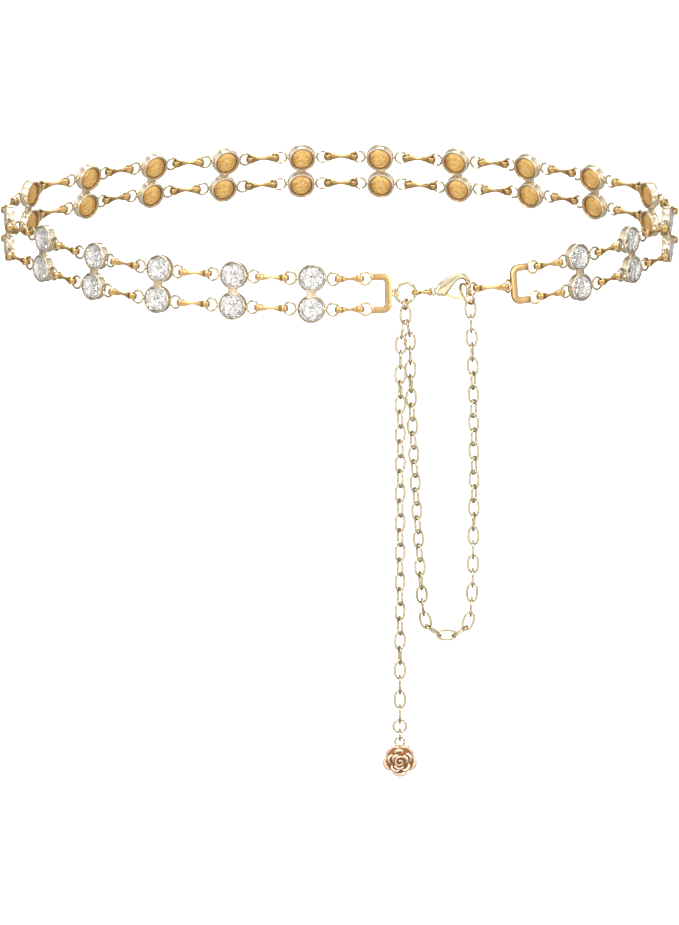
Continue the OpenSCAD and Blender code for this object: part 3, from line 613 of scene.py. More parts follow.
def cut_stone(radius, seat_radius, sizes):
    """Glass, foil and lacquer of one round stone whose edge lies in the X-Z plane.

    The glass is rings of points, from the front: table, stars between it and the
    edge, edge, and the edge again a little behind. Facets are the triangles between,
    and the foil closes the stone behind."""
    n = sizes.mains
    crown, point = sizes.crown / MM, -sizes.pavilion / MM
    edge_front, edge_back = 0.5, 0.12
    table_front = edge_front + crown * 0.75

    def circle(size, way, count, phase=0.0):
        """Points at even steps of angle on a circle in a plane of constant Y."""
        angle = (np.arange(count) + phase) * TURN / count
        return np.stack([size * np.cos(angle), np.full(count, way), size * np.sin(angle)], -1)

    points = np.concatenate([
        circle(radius * sizes.table / math.cos(math.pi / n), table_front, n),
        circle(radius * (1 + sizes.table) / 2, edge_front + crown * 0.5, n, 0.5),
        circle(radius, edge_front, 2 * n), circle(radius, edge_back, 2 * n),
        [[0, table_front, 0]]])
    i = np.arange(n)
    j = (i + 1) % n
    star, top = n + i, 2 * n + 2 * i
    tri = [(i, j, star), (i, star, top), (i, top, n + (i - 1) % n), (star, top + 1, top),
           (star, 2 * n + (2 * i + 2) % (2 * n), top + 1), (j, i, 0 * i + 6 * n)]
    k = np.arange(2 * n)
    m = (k + 1) % (2 * n)
    tri += [(2 * n + k, 2 * n + m, 4 * n + m), (2 * n + k, 4 * n + m, 4 * n + k)]
    glass = points, np.concatenate([np.stack(t, -1) for t in tri])

    def cone(rows, scatter):
        """Faceted dish: rows of (radius, depth) with every other row half a step on,
        and the points of the inner rows moved in depth, so that no facets are alike."""
        points = np.concatenate([circle(r, h, n, 0.5 * (at % 2)) for at, (r, h)
                                 in enumerate(rows)] + [[[0, rows[-1][1], 0]]])
        points[n:, 1] += np.random.default_rng(5).uniform(-scatter, scatter, len(points) - n)
        found = []
        for row in range(len(rows) - 1):
            here, there, odd = row * n, (row + 1) * n, row % 2
            found.append((here + i, here + j, there + (i + odd) % n))
            found.append((there + i, here + (j - odd) % n, there + j))
        found.append((there + i, there + j, 0 * i + len(rows) * n))
        return points, np.concatenate([np.stack(t, -1) for t in found])

    mirror = cone([(radius - 0.2, 0.1), (radius * 0.8, point * 0.28),
                   (radius * 0.62, point * 0.46), (radius * 0.43, point * 0.6),
                   (radius * 0.22, point * 0.68)], 0.17)
    # The lacquered shell: a many-sided dish, nearly flat over most of the back.
    shell = cone([(radius - 0.12, 0.02), (seat_radius - 0.06, point * 0.75),
                  (seat_radius * 0.9, point * 0.98), (seat_radius * 0.62, point * 1.18),
                  (seat_radius * 0.34, point * 1.2)], 0.07)
    # The lacquer is painted darker in flecks towards the left and right of the disc, as shade.
    across, high = abs(shell[0][:, 0]) / seat_radius, abs(shell[0][:, 2]) / seat_radius
    side_shade = np.clip((across - 0.3) * 2.6, 0, 1) * np.clip(1.2 - 1.3 * high, 0, 1)
    side_shade *= np.random.default_rng(8).uniform(0.35, 1, len(side_shade))
    return glass, mirror, shell, side_shade


class WAIST_OT_crystals(bpy.types.Operator):
    """Makes the round stones: cut glass over silver foil with a lacquered back"""
    bl_idname = "waist.crystals"
    bl_label = "Crystals"

    def execute(self, context):
        """One piece for each pair of stones."""
        sizes = context.scene.waist_chain
        cups, stones = sizes.cups, sizes.stones
        radius = cups.diameter / MM / 2 + LIP_OUT - LIP_WIDE - 0.04
        seat = -cups.depth / MM / 2 + LEDGE_HIGH + STONE_ROOM
        seat_radius = cups.diameter / MM / 2 - cups.wall / MM - LEDGE_WIDE
        glass, mirror, shell, side_shade = cut_stone(radius, seat_radius, stones)
        for number, place in enumerate(cup_frames(), 1):
            frames = [(f[0] + f[2] * seat, *f[1:])
                      for f in both_rows([place], cups.row_gap / MM)]
            # The shell's painted shade at the disc's sides rides in the hollow attribute.
            piece(f"crystals_{number:02d}",
                  [(copies(glass, frames), crystal(), 0), (copies(mirror, frames), foil(), 0),
                   (copies(shell, frames), lacquer(), np.tile(side_shade, 2))],
                  [f"stones_{number:02d}"], "chain", 1.0)
        return {"FINISHED"}


# A bow's height, from its middle to its end. Columns: share of the half length, share
# of the way from the waist's height to the full height.
BOW_HEIGHTS = np.array([[0, 0], [.12, .04], [.3, .42], [.48, .86], [.62, 1], [.72, 1],
                        [.84, .93], [.94, .8], [1, .72]])


def bow_shape(pitch, end_high, waist_high, sizes):
    """A connector: a strip bent into two eyes whose sides meet in the middle.

    The strip's line is a smooth closed path in the X-Y plane. Its section is a
    rounded rectangle as high as BOW_HEIGHTS says."""
    strip = sizes.strip / MM
    eye = sizes.eye / MM / 2 + strip / 2
    half = pitch / 2
    # The sides lie close in the fold, which ends a little before the eye.
    fold, shoulder = 0.31, 0.38
    flat = half - eye - 0.35
    side = [(0, fold), (flat * 0.5, fold), (flat, shoulder)]
    side += [(half + eye * math.cos(math.radians(a)), eye * math.sin(math.radians(a)))
             for a in (140, 105, 70, 35)]
    right = side + [(half + eye, 0)] + [(x, -y) for x, y in side[:0:-1]]
    left = [(-x, -y) for x, y in right]
    path = smooth_path(right + left, 96, True)
    way = unit(np.roll(path, -1, 0) - np.roll(path, 1, 0))
    out = np.stack([way[:, 1], -way[:, 0], 0 * way[:, 0]], -1)
    path = np.concatenate([path, 0 * path[:, :1]], -1)
    near = abs(path[:, 0]) / (half + eye)
    high = waist_high + (end_high - waist_high) * np.interp(near, *BOW_HEIGHTS.T)
    section = oval(1, 1, 2.7, 16)
    profile = section * np.stack([0 * high + strip, high], -1)[:, None]
    shape = swept(path, out, along((0, 0, 1), path), profile, True)
    # Inside the eyes, where the ring rubs, and in the fold, shade is painted: the plate is drawn
    # darker there, with a duller gloss.
    inner = np.clip(-section[:, 0] * 2, 0, 1)[None] * np.ones((len(path), 1))
    folded = np.clip(1 - abs(path[:, 0]) / (flat + 0.01), 0, 1)[:, None] * 0.05
    return shape, np.clip(inner * 0.9 + folded, 0, 1).ravel()


def upright(frame_axes, toward=(0, 0, 1)):
    """Long axis, then a third axis turned towards the given one, as a right-handed set."""
    long = frame_axes[0]
    high = max(frame_axes[1:], key=lambda axis: abs(axis @ np.array(toward)))
    high = high * np.sign(high @ np.array(toward))
    return long, np.cross(high, long), high


class WAIST_OT_bows(bpy.types.Operator):
    """Makes the folded connectors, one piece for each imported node"""
    bl_idname = "waist.bows"
    bl_label = "Connectors"

    def execute(self, context):
        """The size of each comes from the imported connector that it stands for. Only
        the short one has a waist of its own, in millimetres."""
        sizes = context.scene.waist_chain.bows
        for node, name, waist in (("connectors_upper", "bows_upper", 0),
                                  ("connectors_lower", "bows_lower", 0),
                                  ("long_connector", "bow_long", 0),
                                  ("short_connector", "bow_short", 1)):
            parts = []
            for points in loose_solids(node):
                centre, axes, extent = principal_frame(points)
                place = (centre, *upright(axes))
                pitch = extent[0] - sizes.eye / MM - 2 * sizes.strip / MM
                high = np.ptp(points @ place[3]) * sizes.fullness
                shape, hollow = bow_shape(pitch, high, waist or sizes.waist / MM, sizes)
                parts.append((copies(shape, [place]), gold(), hollow))
            piece(name, parts, [node], "chain", 50)
        return {"FINISHED"}


def link_shape(long, wide, wire, sizes):
    """An oval link in its X-Z plane: a circle carried along a superellipse."""
    line = oval(wide - wire, long - wire, sizes.squareness, 40)
    path = np.stack([line[:, 0], 0 * line[:, 0], line[:, 1]], -1)
    way = unit(np.roll(path, -1, 0) - np.roll(path, 1, 0))
    across = along((0, 1, 0), path)
    sides = sizes.round_steps
    # Where links rub in each other, at both ends inside, shade is painted: the plate is drawn
    # darker there, with a duller gloss.
    end_shade = np.clip(abs(line[:, 1]) / (long / 2) * 2 - 1, 0, 1)[:, None]
    inner = np.clip(-np.cos(np.arange(sides) * TURN / sides), 0, 1)[None]
    shape = swept(path, -np.cross(across, way), across, oval(wire, wire, steps=sides), True)
    return shape, (end_shade * inner * 0.6).ravel()


class WAIST_OT_links(bpy.types.Operator):
    """Makes the oval links of the hanging loop and the tail"""
    bl_idname = "waist.links"
    bl_label = "Oval links"

    def execute(self, context):
        """Each link lies where its packed link lies."""
        for node, name in (("chain_swag", "loop_links"), ("chain_tail", "tail_links"),
                           ("top_link", "first_link")):
            found = [principal_frame(points) for points in loose_solids(node)]
            long, wide, wire = found[0][2]
            shape, hollow = link_shape(long, wide, wire, context.scene.waist_chain.chain)
            frames = [(centre, axes[1], axes[2], axes[0]) for centre, axes, _ in found]
            piece(name, [(copies(shape, frames), link_plate(), np.tile(hollow, len(frames)))],
                  [node], "chain", 60)
        return {"FINISHED"}


class WAIST_OT_rings(bpy.types.Operator):
    """Makes the jump rings, each with its sawn seam"""
    bl_idname = "waist.rings"
    bl_label = "Jump rings"

    def execute(self, context):
        """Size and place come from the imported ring; the seam is turned to one side."""
        seam_way = np.array([0.35, 0.1, 1])
        for node, body, material, slot_name in (
                ("jump_ring", "chain", link_plate, "pale_gold_plate"),
                ("catch_ring", "chain", gold, "gold_plate"),
                ("small_ring", "chain", link_plate, "pale_gold_plate"),
                ("hanger_ring", "chain", warm, "gold_plate"),
                ("tail_ring", "chain", link_plate, "gold_plate"),
                ("drop_ring", "drop_ring", link_plate, "gold_plate")):
            centre, axes, extent = principal_frame(loose_solids(node)[0])
            wire = extent[2]
            top = unit(seam_way - axes[2] * (seam_way @ axes[2]))
            shape = ring_shape((extent[0] - wire) / 2, wire, 56, 14, seam=0.06)
            piece(f"{node}_wire",
                  [(copies(shape, [(centre, np.cross(axes[2], top), axes[2], top)]),
                    material(), 0)], [node], body, 60)
        return {"FINISHED"}


def bar_frame(node, side, long):
    """Middle, belt, outward and up ways of a packed end bar of the given length.

    The widest face looks out or in. The widest one square to it looks along the belt,
    which runs to the given side: -1 is left and 1 is right. The middle lies halfway
    between the widest faces that look out and in, and up and down, and half the bar's
    length in from its closed side."""
    faces = frame["nodes"][node].data.polygons
    area, ways, places = (np.empty(len(faces) * size) for size in (1, 3, 3))
    for kind, values in (("area", area), ("normal", ways), ("center", places)):
        faces.foreach_get(kind, values)
    ways, places = ways.reshape(-1, 3), places.reshape(-1, 3) / MM
    outward = unit(ways[area.argmax()])
    outward = outward * np.sign(outward @ (places.mean(0) * (1, 1, 0)))
    belt = unit(ways[(area * (abs(ways @ outward) < 0.01)).argmax()])
    belt = belt * side * np.sign(belt[0])
    up = np.cross(outward, belt) * side

    def level(way):
        """How far along a way the widest face lies that looks that way."""
        return places[(area * (ways @ way > 0.9999)).argmax()] @ way

    middle = belt * (long / 2 - level(-belt))
    for way in (outward, up):
        middle = middle + way * (level(way) - level(-way)) / 2
    return middle, belt, outward, up


class WAIST_OT_end_bars(bpy.types.Operator):
    """Makes the two C-shaped end bars with their rings"""
    bl_idname = "waist.end_bars"
    bl_label = "End bars"

    def execute(self, context):
        """A flat section with bevelled edges carried along a C, open towards the belt."""
        s = context.scene.waist_chain.cups
        width, thick, long, over = 2.5, 1.4, 7.4, 0.45
        row, ring_out, wire = s.row_gap / MM, s.ring / MM / 2, s.ring_wire / MM
        high = row / 2 + over
        bend = 2.3
        corner = np.radians(np.linspace(0, 90, 13))
        arm = np.stack([-long / 2 + width / 2 + bend - bend * np.sin(corner),
                        high - bend + bend * np.cos(corner)], -1)
        tip = [[long / 2, high], [long / 2 - 0.15, high], [long / 2 - 1.5, high]]
        half = np.concatenate([tip, arm, [[-long / 2 + width / 2, 2.0]]])
        line = np.concatenate([half, (half * (1, -1))[::-1]])
        path = np.stack([line[:, 0], 0 * line[:, 0], line[:, 1]], -1)
        way = unit(np.gradient(path, axis=0))
        out = along((0, 1, 0), path)
        size = np.ones((len(path), 1, 1))
        size[[0, -1]] = 0.84
        # The face has a low bevel on both edges, as a stamped strip does.
        bevel = np.array([(1, .35), (.98, .72), (.9, .93), (.78, 1)])
        bevel = np.concatenate([bevel, bevel[::-1] * (-1, 1), -bevel, bevel[::-1] * (1, -1)])
        bar = swept(path, np.cross(way, out), out, bevel * (width / 2, thick / 2) * size)
        ring = ring_shape(ring_out - wire / 2, wire, 36, 10)
        ring_x = long / 2 + ring_out - SOLDERED
        # The left bar's lug holds the jump ring's wire with some room.
        lug_wire, jump_wire, room = 0.8, 1.1, 0.6
        lug_r = (jump_wire + room) / 2 + lug_wire
        lug = ring_shape(lug_r - lug_wire / 2, lug_wire, 32, 10)
        turn = math.radians(32)
        for node, side in (("end_bar_left", -1), ("end_bar_right", 1)):
            o, x, y, z = bar_frame(node, side, long)
            at = [(o + x * ring_x + z * end * row / 2, x, y, z) for end in (1, -1)]
            if node == "end_bar_left":
                lug_at = o - x * (long / 2 + lug_r - SOLDERED)
                extra = copies(lug, [(lug_at, x, y, z)])
            else:
                away = -x * math.cos(turn) + y * math.sin(turn)
                ring_at = o - x * long / 2 + away * (ring_out - SOLDERED)
                extra = copies(ring, [(ring_at, away, np.cross(z, away), z)])
            piece(f"{node}_strip",
                  [(copies(bar, [(o, x, y, z)]), satin(), 0),
                   (copies(ring, at), gold(), 0), (extra, gold(), 0)],
                  [node], "chain", 40)
        return {"FINISHED"}


# The clasp's length and height, and the place of the lever's pin as shares of these.
CLASP = np.array((14.8, 9.6))
PIN = np.array((0.3, -0.085))


def clasp_frame():
    """Eye, right, back and up of the clasp. The lever's hinge gives the way back and
    the pin's place, and the clasp falls to the right by two degrees."""
    hinge = next(j for j in frame["joints"] if j["name"] == "lever_pivot")
    back = -unit(hinge["axis"])
    level = unit(np.array([back[1], -back[0], 0]))
    fall = math.radians(1.987)
    right = level * math.cos(fall) - np.array([0, 0, math.sin(fall)])
    up = np.cross(right, back)
    across, high = PIN * CLASP
    return np.array(hinge["pos_m"]) / MM - right * across - up * high, right, back, up


# Pairs of points on the outside and the inside of the claw, as shares of the clasp's
# length and height, from the eye over the top to the nose's tip.
# Columns: outside X and Z, inside X and Z.
CLAW = np.array([
    [0.08, 0.06, 0.1, -0.08], [0.115, 0.15, 0.135, -0.14], [0.16, 0.27, 0.2, -0.185],
    [0.24, 0.37, 0.29, -0.2], [0.32, 0.45, 0.36, -0.15], [0.4, 0.525, 0.425, -0.03],
    [0.48, 0.59, 0.49, 0.11], [0.56, 0.64, 0.56, 0.26], [0.64, 0.665, 0.625, 0.37],
    [0.72, 0.67, 0.69, 0.425], [0.8, 0.64, 0.76, 0.43], [0.88, 0.56, 0.82, 0.385],
    [0.94, 0.445, 0.86, 0.3], [0.98, 0.3, 0.88, 0.2], [1.0, 0.12, 0.886, 0.08],
    [1.0, -0.05, 0.886, -0.05], [0.985, -0.18, 0.884, -0.17], [0.958, -0.26, 0.882, -0.25],
    [0.93, -0.3, 0.886, -0.29]])
# The same for the upper and the lower edge of the lever's arm, from the hub to the end
# behind the nose.
ARM = np.array([
    [0.3, 0.0, 0.27, -0.16], [0.35, -0.045, 0.33, -0.2], [0.42, -0.12, 0.41, -0.235],
    [0.52, -0.19, 0.52, -0.295], [0.63, -0.24, 0.63, -0.345], [0.74, -0.272, 0.74, -0.372],
    [0.8, -0.283, 0.8, -0.378], [0.83, -0.29, 0.832, -0.376]])


def strip_between(pairs, thick, power, steps, columns=28):
    """A solid whose outline runs between two curves in the X-Z plane.

    At each step the section is a superellipse from one curve to the other, as thick
    as the given array says. The ends are rounded by sections that shrink to a point."""
    outer = smooth_path(pairs[:, :2] * CLASP, steps)
    inner = smooth_path(pairs[:, 2:] * CLASP, steps)
    middle, half = (outer + inner) / 2, (outer - inner) / 2
    path, side = (np.stack([p[:, 0], 0 * p[:, 0], p[:, 1]], -1) for p in (middle, half))
    thick = np.broadcast_to(thick, steps)
    way = unit(np.gradient(path, axis=0))
    # Five more sections close each end along a quarter ellipse.
    a = np.radians([18, 36, 54, 72, 86])[:, None]
    reach = np.minimum(np.linalg.norm(side[[0, -1]], axis=1), 0.5)
    first = path[0] - way[0] * reach[0] * np.sin(a)
    last = path[-1] + way[-1] * reach[1] * np.sin(a)
    path = np.concatenate([first[::-1], path, last])
    side = np.concatenate([(side[0] * np.cos(a))[::-1], side, side[-1] * np.cos(a)])
    fall = np.cos(a)[:, 0]
    thick = np.concatenate([thick[0] * fall[::-1], thick, thick[-1] * fall])
    section = oval(2, 2, power, columns)
    return swept(path, side, along((0, 1, 0), path),
                 section * np.stack([0 * thick + 1, thick / 2], -1)[:, None])


def there_and_back(half):
    """A turned profile from its back half: the front half mirrors it."""
    return half + [(radius, -way) for radius, way in half[::-1]]


def cut_slot(body, place):
    """Cuts the lever's slot, a box open below, out of the claw."""
    half_wide, roof, below = 0.56, 1.15, -5.0
    slot = np.array([[x, y, z] for x in (0.2 * CLASP[0], 0.545 * CLASP[0])
                     for y in (-half_wide, half_wide) for z in (below, roof)])
    sides = np.array([[0, 1, 3, 2], [4, 6, 7, 5], [0, 4, 5, 1], [2, 3, 7, 6],
                      [0, 2, 6, 4], [1, 5, 7, 3]])
    mesh = bpy.data.meshes.new("slot")
    mesh.from_pydata((copies((slot, sides), [place])[0] * MM).tolist(), [], sides.tolist())
    cutter = bpy.data.objects.new("slot", mesh)
    bpy.context.scene.collection.objects.link(cutter)
    cut = body.modifiers.new("slot", "BOOLEAN")
    cut.object, cut.operation, cut.solver = cutter, "DIFFERENCE", "EXACT"
    bpy.context.view_layer.update()
    done = bpy.data.meshes.new_from_object(
        body.evaluated_get(bpy.context.evaluated_depsgraph_get()))
    body.modifiers.clear()
    body.data = done
    bpy.data.objects.remove(cutter)
    done.shade_smooth()
    done.set_sharp_from_angle(angle=math.radians(40))


class WAIST_OT_clasp(bpy.types.Operator):
    """Makes the clasp's claw and its lever"""
    bl_idname = "waist.clasp"
    bl_label = "Clasp"

    def execute(self, context):
        """The claw is cut open below for the lever, which turns on a riveted pin."""
        place = clasp_frame()
        steps = 96
        # Full at the body, thinner to the nose and to the eye.
        thick = 2.45 * np.interp(np.linspace(0, 1, steps), [0, .12, .3, .55, .78, 1],
                                 [.62, .88, 1, .95, .7, .5])
        claw = strip_between(CLAW, thick, 2.3, steps)
        cut_slot(piece("clasp_claw", [(copies(claw, [place]), pale(), 0)],
                       ["clasp_body"], "chain", 50), place)
        across, high = PIN * CLASP
        pin_place = (place[0] + place[1] * across + place[3] * high, *place[1:])
        eye = ring_shape(1.35, 0.8, 36, 12)
        rivet = turned_profile(there_and_back([(0.0, -1.13), (0.3, -1.12), (0.44, -1.05),
                                               (0.46, -0.95), (0.35, -0.9)]), 24)
        piece("clasp_eye", [(copies(eye, [place]), link_plate(), 0),
                            (copies(rivet, [pin_place]), gold(), 0)],
              ["clasp_body"], "chain", 50)
        arm = strip_between(ARM, 0.8, 5, 48, 24)
        hub = turned_profile(there_and_back([(0.5, -0.4), (1.0, -0.4), (1.05, -0.33)]), 32)
        # The hub gets a little painted shade (hollow 0.3).
        piece("lever_arm", [(copies(arm, [place]), gold(), 0),
                            (copies(hub, [pin_place]), gold(), 0.3)],
              ["clasp_lever"], "lever", 50)
        return {"FINISHED"}


def petal(at, spread, root, reach, height, curl, thick, columns=18):
    """A cast petal: a section carried across the petal's width.

    The section runs from the root out to the rim, where it rolls over, and back
    underneath. Towards both sides it grows shorter and lower by a half circle and
    ends in a point. Angles are in radians round the rose, and heights count towards
    the viewer. The second result says how far each point lies in a hollow."""
    u = np.linspace(-1, 1, columns)
    full = np.sqrt(np.clip(1 - u ** 2, 0, 1))[:, None]
    v = np.linspace(0, 1, 9)[None]
    roll = np.radians(np.linspace(-60, 200, 8))[None]
    side_reach, side_height = 0.35, 0.45
    rim = root + (reach - root) * (side_reach + (1 - side_reach) * full)
    top = height * (side_height + (1 - side_height) * full)
    r_in = root + (rim - thick - root) * v
    h_in = top * (0.35 + 0.65 * v ** 2) + 0 * r_in
    centre_r, centre_h = rim - thick, top + 0 * rim
    lip = thick * (0.5 + curl * full)
    r_roll = centre_r + lip * np.cos(math.pi / 2 - roll)
    h_roll = centre_h + lip * np.sin(math.pi / 2 - roll) - thick * 0.3
    r_back = (root + (rim - thick - root) * v[:, ::-1]) * 0.97
    h_back = h_in[:, ::-1] - thick * (0.6 + full)
    radius = np.concatenate([r_in, r_roll, r_back], 1)
    high = np.concatenate([h_in, h_roll, h_back], 1)
    ends = np.clip(full * 3, 0, 1)
    radius, high = (row.mean(1, keepdims=True) + (row - row.mean(1, keepdims=True)) * ends
                    for row in (radius, high))
    angle = at + spread * u[:, None] + 0 * radius
    # Painted shade: the petal's root, between the petals, and its underside are drawn darker.
    hollow = np.concatenate([np.clip(1.2 - 2.5 * v[0], 0, 1), 0 * roll[0], 0 * v[0] + 0.3])
    shape = np.stack([radius * np.cos(angle), -high, radius * np.sin(angle)], -1)
    return surface(shape, False, True), np.tile(hollow, columns)


class WAIST_OT_rose(bpy.types.Operator):
    """Makes the cast rose with its loop"""
    bl_idname = "waist.rose"
    bl_label = "Rose"

    def execute(self, context):
        """Rows of petals over a dish, round a bud that winds up in a spiral."""
        s = context.scene.waist_chain.rose
        size, deep = s.diameter / MM / 2, s.thickness / MM
        low, high = (np.array(c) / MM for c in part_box("rose_pendant"))
        centre = np.array([(low[0] + high[0]) / 2, high[1] - 0.25, low[2] + size])
        loop_wide, wire = 4.2, 0.8
        bail = np.array([centre[0], centre[1] - 0.18 * deep, high[2] - loop_wide / 2])
        n = s.petals
        step = TURN / n
        up = math.pi / 2
        # Rows of petals from the outside in. Columns: petals, angle of the first, half
        # width as an angle, root and reach as shares of the radius, height as a share
        # of the thickness, curl, thickness in millimetres.
        rows = ((n, 0.5 * step, 0.56 * step, 0.46, 1.0, 0.42, 0.8, 0.52),
                (n, 0.1, 0.5 * step, 0.34, 0.76, 0.68, 0.75, 0.5),
                (3, 0.9, 0.9, 0.26, 0.52, 0.84, 0.7, 0.46))
        petals = [petal(up + first + k * TURN / count, spread, size * root, size * reach,
                        deep * height, curl, thick)
                  for count, first, spread, root, reach, height, curl, thick in rows
                  for k in range(count)]
        # The dish behind: a low dome whose rim follows the outer petals. Columns:
        # share of the rim's radius, share of the thickness, how far in a hollow, where
        # shade is painted under the petals.
        section = np.array([(0, .5, 1), (.35, .46, 1), (.7, .36, 1), (.92, .28, 0.9),
                            (1, .12, 0.4), (.97, .02, 0.1), (.6, 0, 0), (0, 0, 0)])
        angle = np.arange(90) * TURN / 90
        edge = size * (0.82 + 0.12 * abs(np.sin(n * (angle - up) / 2)) ** 0.6)[:, None]
        r, h = section[:, 0], section[:, 1] * deep
        dish = surface(np.stack([edge * r * np.cos(angle)[:, None], -h + 0 * edge,
                                 edge * r * np.sin(angle)[:, None]], -1), True, True)
        # The bud: a ridge of round section that winds inwards and rises.
        t = np.linspace(0, 1, 70)
        wind = up - 1.0 + t * TURN * 1.3
        radius = size * (0.29 * (1 - t) ** 0.8 + 0.04)
        path = np.stack([radius * np.cos(wind), -deep * (0.72 + 0.2 * t),
                         radius * np.sin(wind)], -1)
        front = along((0, -1, 0), path)
        side = unit(np.cross(unit(np.gradient(path, axis=0)), front))
        ridge = swept(path, side, front, oval(0.72, 1.5, 2.4, 14)
                      * np.clip(np.minimum(t, 1 - t) * 12 + 0.35, 0, 1)[:, None, None])
        stem = turned_profile([(0, -deep * 0.3), (size * 0.33, -deep * 0.3),
                               (size * 0.31, -deep * 0.62), (0, -deep * 0.6)], 40)
        loop = ring_shape((loop_wide - wire) / 2, wire, 36, 12)
        place = [(centre, *np.eye(3))]
        # The stem under the bud lies wholly in painted shade (hollow 1).
        piece("rose_flower",
              [(copies(p, place), cast(), hollow) for p, hollow in petals]
              + [(copies(dish, place), cast(), np.tile(section[:, 2], 90)),
                 (copies(stem, place), cast(), 1), (copies(ridge, place), cast(), 0),
                 (copies(loop, [(bail, *np.eye(3))]), link_plate(), 0)],
              ["rose_pendant"], "rose", 50)
        return {"FINISHED"}


# The stage

def placed(right, up, back, spot):
    """The matrix of a lamp or camera from its axes and its place."""
    return Matrix(np.vstack([np.stack([right, up, back, spot], -1), (0, 0, 0, 1)]).tolist())


def paper_floor(drop, shade):
    """A round sheet of pale paper, which mirrors in polished metal as if it lay in
    shade, but for a bright part in front of the chain."""
    mesh = bpy.data.meshes.new("floor")
    angle = np.arange(64) * TURN / 64
    radius = 9
    mesh.from_pydata(np.stack([radius * np.cos(angle), radius * np.sin(angle),
                               0 * angle + cad_box[0][2] - drop], -1).tolist(),
                     [], [list(range(64))])
    floor = bpy.data.objects.new("floor", mesh)
    bpy.context.scene.collection.objects.link(floor)
    made, tree = new_material("floor_paper")
    place = add(tree, "ShaderNodeTexCoord").outputs["Object"]
    fibre = add(tree, "ShaderNodeTexNoise", {"Vector": place, "Scale": 1 / (25 * MM)})
    tone = add(tree, "ShaderNodeMapRange", {"Value": fibre.outputs["Fac"],
                                            "To Min": 0.93, "To Max": 0.96})
    ahead = add(tree, "ShaderNodeMapRange", {
        "Value": add(tree, "ShaderNodeSeparateXYZ", {0: place}).outputs["Y"],
        "From Min": -0.2, "From Max": -0.42, "To Min": shade, "To Max": 0.95})
    seen = add(tree, "ShaderNodeLightPath").outputs["Is Camera Ray"]
    paper = add(tree, "ShaderNodeMix", {0: seen, 2: ahead.outputs[0],
                                        3: tone.outputs["Result"]})
    # The far end of the paper has its own light, so that it is as pale as the rest.
    glow = add(tree, "ShaderNodeMath", {0: seen, 1: 0.5}, operation="MULTIPLY")
    shader = add(tree, "ShaderNodeBsdfPrincipled", {
        "Base Color": paper.outputs[0], "Roughness": 0.9, "Specular IOR Level": 0.2,
        "Emission Color": (1, 1, 1, 1), "Emission Strength": glow.outputs[0]})
    add(tree, "ShaderNodeOutputMaterial", {"Surface": shader.outputs[0]})
    mesh.materials.append(made)


def studio_world():
    """The room: bright in front, with tall white screens at the left and the right,
    and dark elsewhere, so that every round wire keeps darker edges. The brightness is
    the larger of how far a direction points ahead and how far it points aside. The
    lens sees the room as pale as the paper."""
    dark = (*linear("#8e8881"), 1)
    world = bpy.data.worlds.new("studio")
    bpy.context.scene.world = world
    world.use_nodes = True
    tree = world.node_tree
    tree.nodes.clear()
    way = add(tree, "ShaderNodeTexCoord").outputs["Generated"]
    ahead = add(tree, "ShaderNodeVectorMath", {0: way, 1: (0, -0.95, 0.3)},
                operation="DOT_PRODUCT")
    across = add(tree, "ShaderNodeSeparateXYZ", {0: way}).outputs["X"]
    aside = add(tree, "ShaderNodeMath", {0: across}, operation="ABSOLUTE")
    screens = add(tree, "ShaderNodeMath", {0: aside.outputs[0], 1: 0.22},
                  operation="SUBTRACT")
    bright = add(tree, "ShaderNodeMath", {0: ahead.outputs["Value"],
                                          1: screens.outputs[0]}, operation="MAXIMUM")
    ramp = add(tree, "ShaderNodeValToRGB", {"Fac": bright.outputs[0]})
    for end, at, tone in zip(ramp.color_ramp.elements, (0.3, 0.66), (dark, (1, 1, 1, 1))):
        end.position, end.color = at, tone
    # Small dark things stand about the room.
    spots = add(tree, "ShaderNodeTexNoise", {"Vector": way, "Scale": 7.0, "Detail": 3.0})
    things = add(tree, "ShaderNodeMapRange", {"Value": spots.outputs["Fac"],
                                              "From Min": 0.6, "From Max": 0.63})
    room = add(tree, "ShaderNodeMix", {0: things.outputs[0], 6: ramp.outputs["Color"],
                                       7: dark}, data_type="RGBA")
    seen = add(tree, "ShaderNodeLightPath").outputs["Is Camera Ray"]
    wall = add(tree, "ShaderNodeMix", {0: seen, 6: room.outputs[2],
                                       7: (0.95, 0.95, 0.95, 1)}, data_type="RGBA")
    sky = add(tree, "ShaderNodeBackground", {"Color": wall.outputs[2], "Strength": 1.05})
    add(tree, "ShaderNodeOutputWorld", {"Surface": sky.outputs[0]})


# Soft lamps, each turned to the middle of the chain. Columns: name, place and width in
# metres, power in watts.
LAMPS = (("top", (0.0, 0.1, 1.6), 1.4, 16), ("front_left", (-0.9, -1.5, 0.9), 0.7, 15),
         ("front_right", (1.2, -1.2, 0.5), 0.4, 7), ("back", (0.3, 1.6, 0.8), 1.0, 8))
CHAIN_MIDDLE = np.array([0, 0, -0.05])


def lamps():
    """Square area lamps at their places."""
    for name, spot, width, power in LAMPS:
        light = bpy.data.lights.new(name, "AREA")
        light.size, light.energy = width, power
        lamp = bpy.data.objects.new(name, light)
        back = unit(np.array(spot) - CHAIN_MIDDLE)
        right = unit(np.cross((0, 0, 1.0), back))
        lamp.matrix_world = placed(right, np.cross(back, right), back, spot)
        bpy.context.scene.collection.objects.link(lamp)


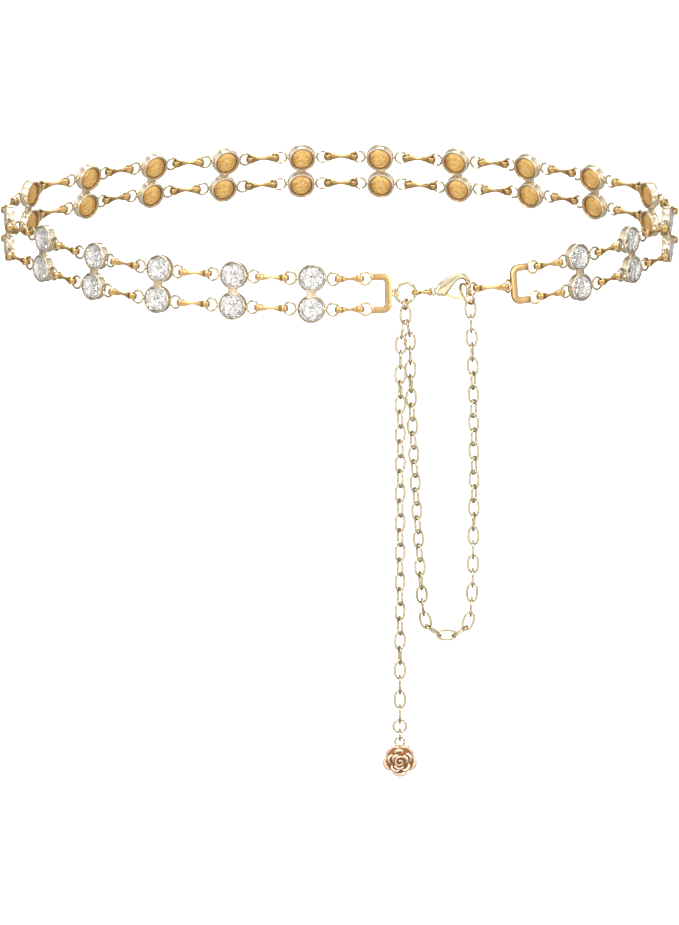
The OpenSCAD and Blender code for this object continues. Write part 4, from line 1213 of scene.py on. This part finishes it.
def photo_camera(tilt, distance, pixels_per_mm):
    """A camera that looks down by the tilt and aims at the picture's middle, which
    lies to the right of the waist's middle and below it."""
    picture = np.array([679, 925])
    aim_right, aim_down = 0.3, 84.8
    camera = bpy.data.cameras.new("camera")
    camera.sensor_width = 36
    camera.lens = 36 * distance / (picture / pixels_per_mm * MM).max()
    camera.clip_start, camera.clip_end = 0.1, 60
    back = np.array([0, -math.cos(tilt), math.sin(tilt)])
    up = np.array([0, math.sin(tilt), math.cos(tilt)])
    aim = -up * aim_down * MM + np.array([aim_right, 0, 0]) * MM
    seat = bpy.data.objects.new("camera", camera)
    seat.matrix_world = placed((1, 0, 0), up, back, aim + back * distance)
    bpy.context.scene.collection.objects.link(seat)
    bpy.context.scene.camera = seat


class WAIST_OT_stage(bpy.types.Operator):
    """Makes the camera, the lights and the pale floor"""
    bl_idname = "waist.stage"
    bl_label = "Stage"

    def execute(self, context):
        """A white studio with dark parts, so that round wires show their edges."""
        s = context.scene.waist_chain.stage
        paper_floor(s.floor_drop, s.shade)
        studio_world()
        lamps()
        photo_camera(s.tilt, s.distance, s.pixels_per_mm)
        context.scene.view_settings.view_transform = "Standard"
        return {"FINISHED"}


class WAIST_PT_panel(bpy.types.Panel):
    """Lists the steps that dress the waist chain"""
    bl_label = "Waist chain"
    bl_idname = "WAIST_PT_panel"
    bl_space_type = "VIEW_3D"
    bl_region_type = "UI"
    bl_category = "Waist chain"

    def draw(self, context):
        """One button for each operator."""
        for operator in OPERATORS:
            self.layout.operator(operator.bl_idname)


OPERATORS = (WAIST_OT_stage, WAIST_OT_cups, WAIST_OT_crystals, WAIST_OT_bows, WAIST_OT_links,
             WAIST_OT_rings, WAIST_OT_end_bars, WAIST_OT_clasp, WAIST_OT_rose)
CLASSES = (CupSizes, StoneSizes, BowSizes, ChainSizes, RoseSizes, Finishes, StageSizes,
           WaistChain, *OPERATORS, WAIST_PT_panel)


def register():
    """Registers the classes and hangs the sizes on the scene."""
    for one in CLASSES:
        bpy.utils.register_class(one)
    bpy.types.Scene.waist_chain = PointerProperty(type=WaistChain)


def unregister():
    """Takes the sizes and the classes away again."""
    del bpy.types.Scene.waist_chain
    for one in reversed(CLASSES):
        bpy.utils.unregister_class(one)


def main():
    """Runs the steps in order."""
    register()
    bpy.ops.waist.stage()
    bpy.ops.waist.cups()
    bpy.ops.waist.crystals()
    bpy.ops.waist.bows()
    bpy.ops.waist.links()
    bpy.ops.waist.rings()
    bpy.ops.waist.end_bars()
    bpy.ops.waist.clasp()
    bpy.ops.waist.rose()


if __name__ == "__main__":
    main()
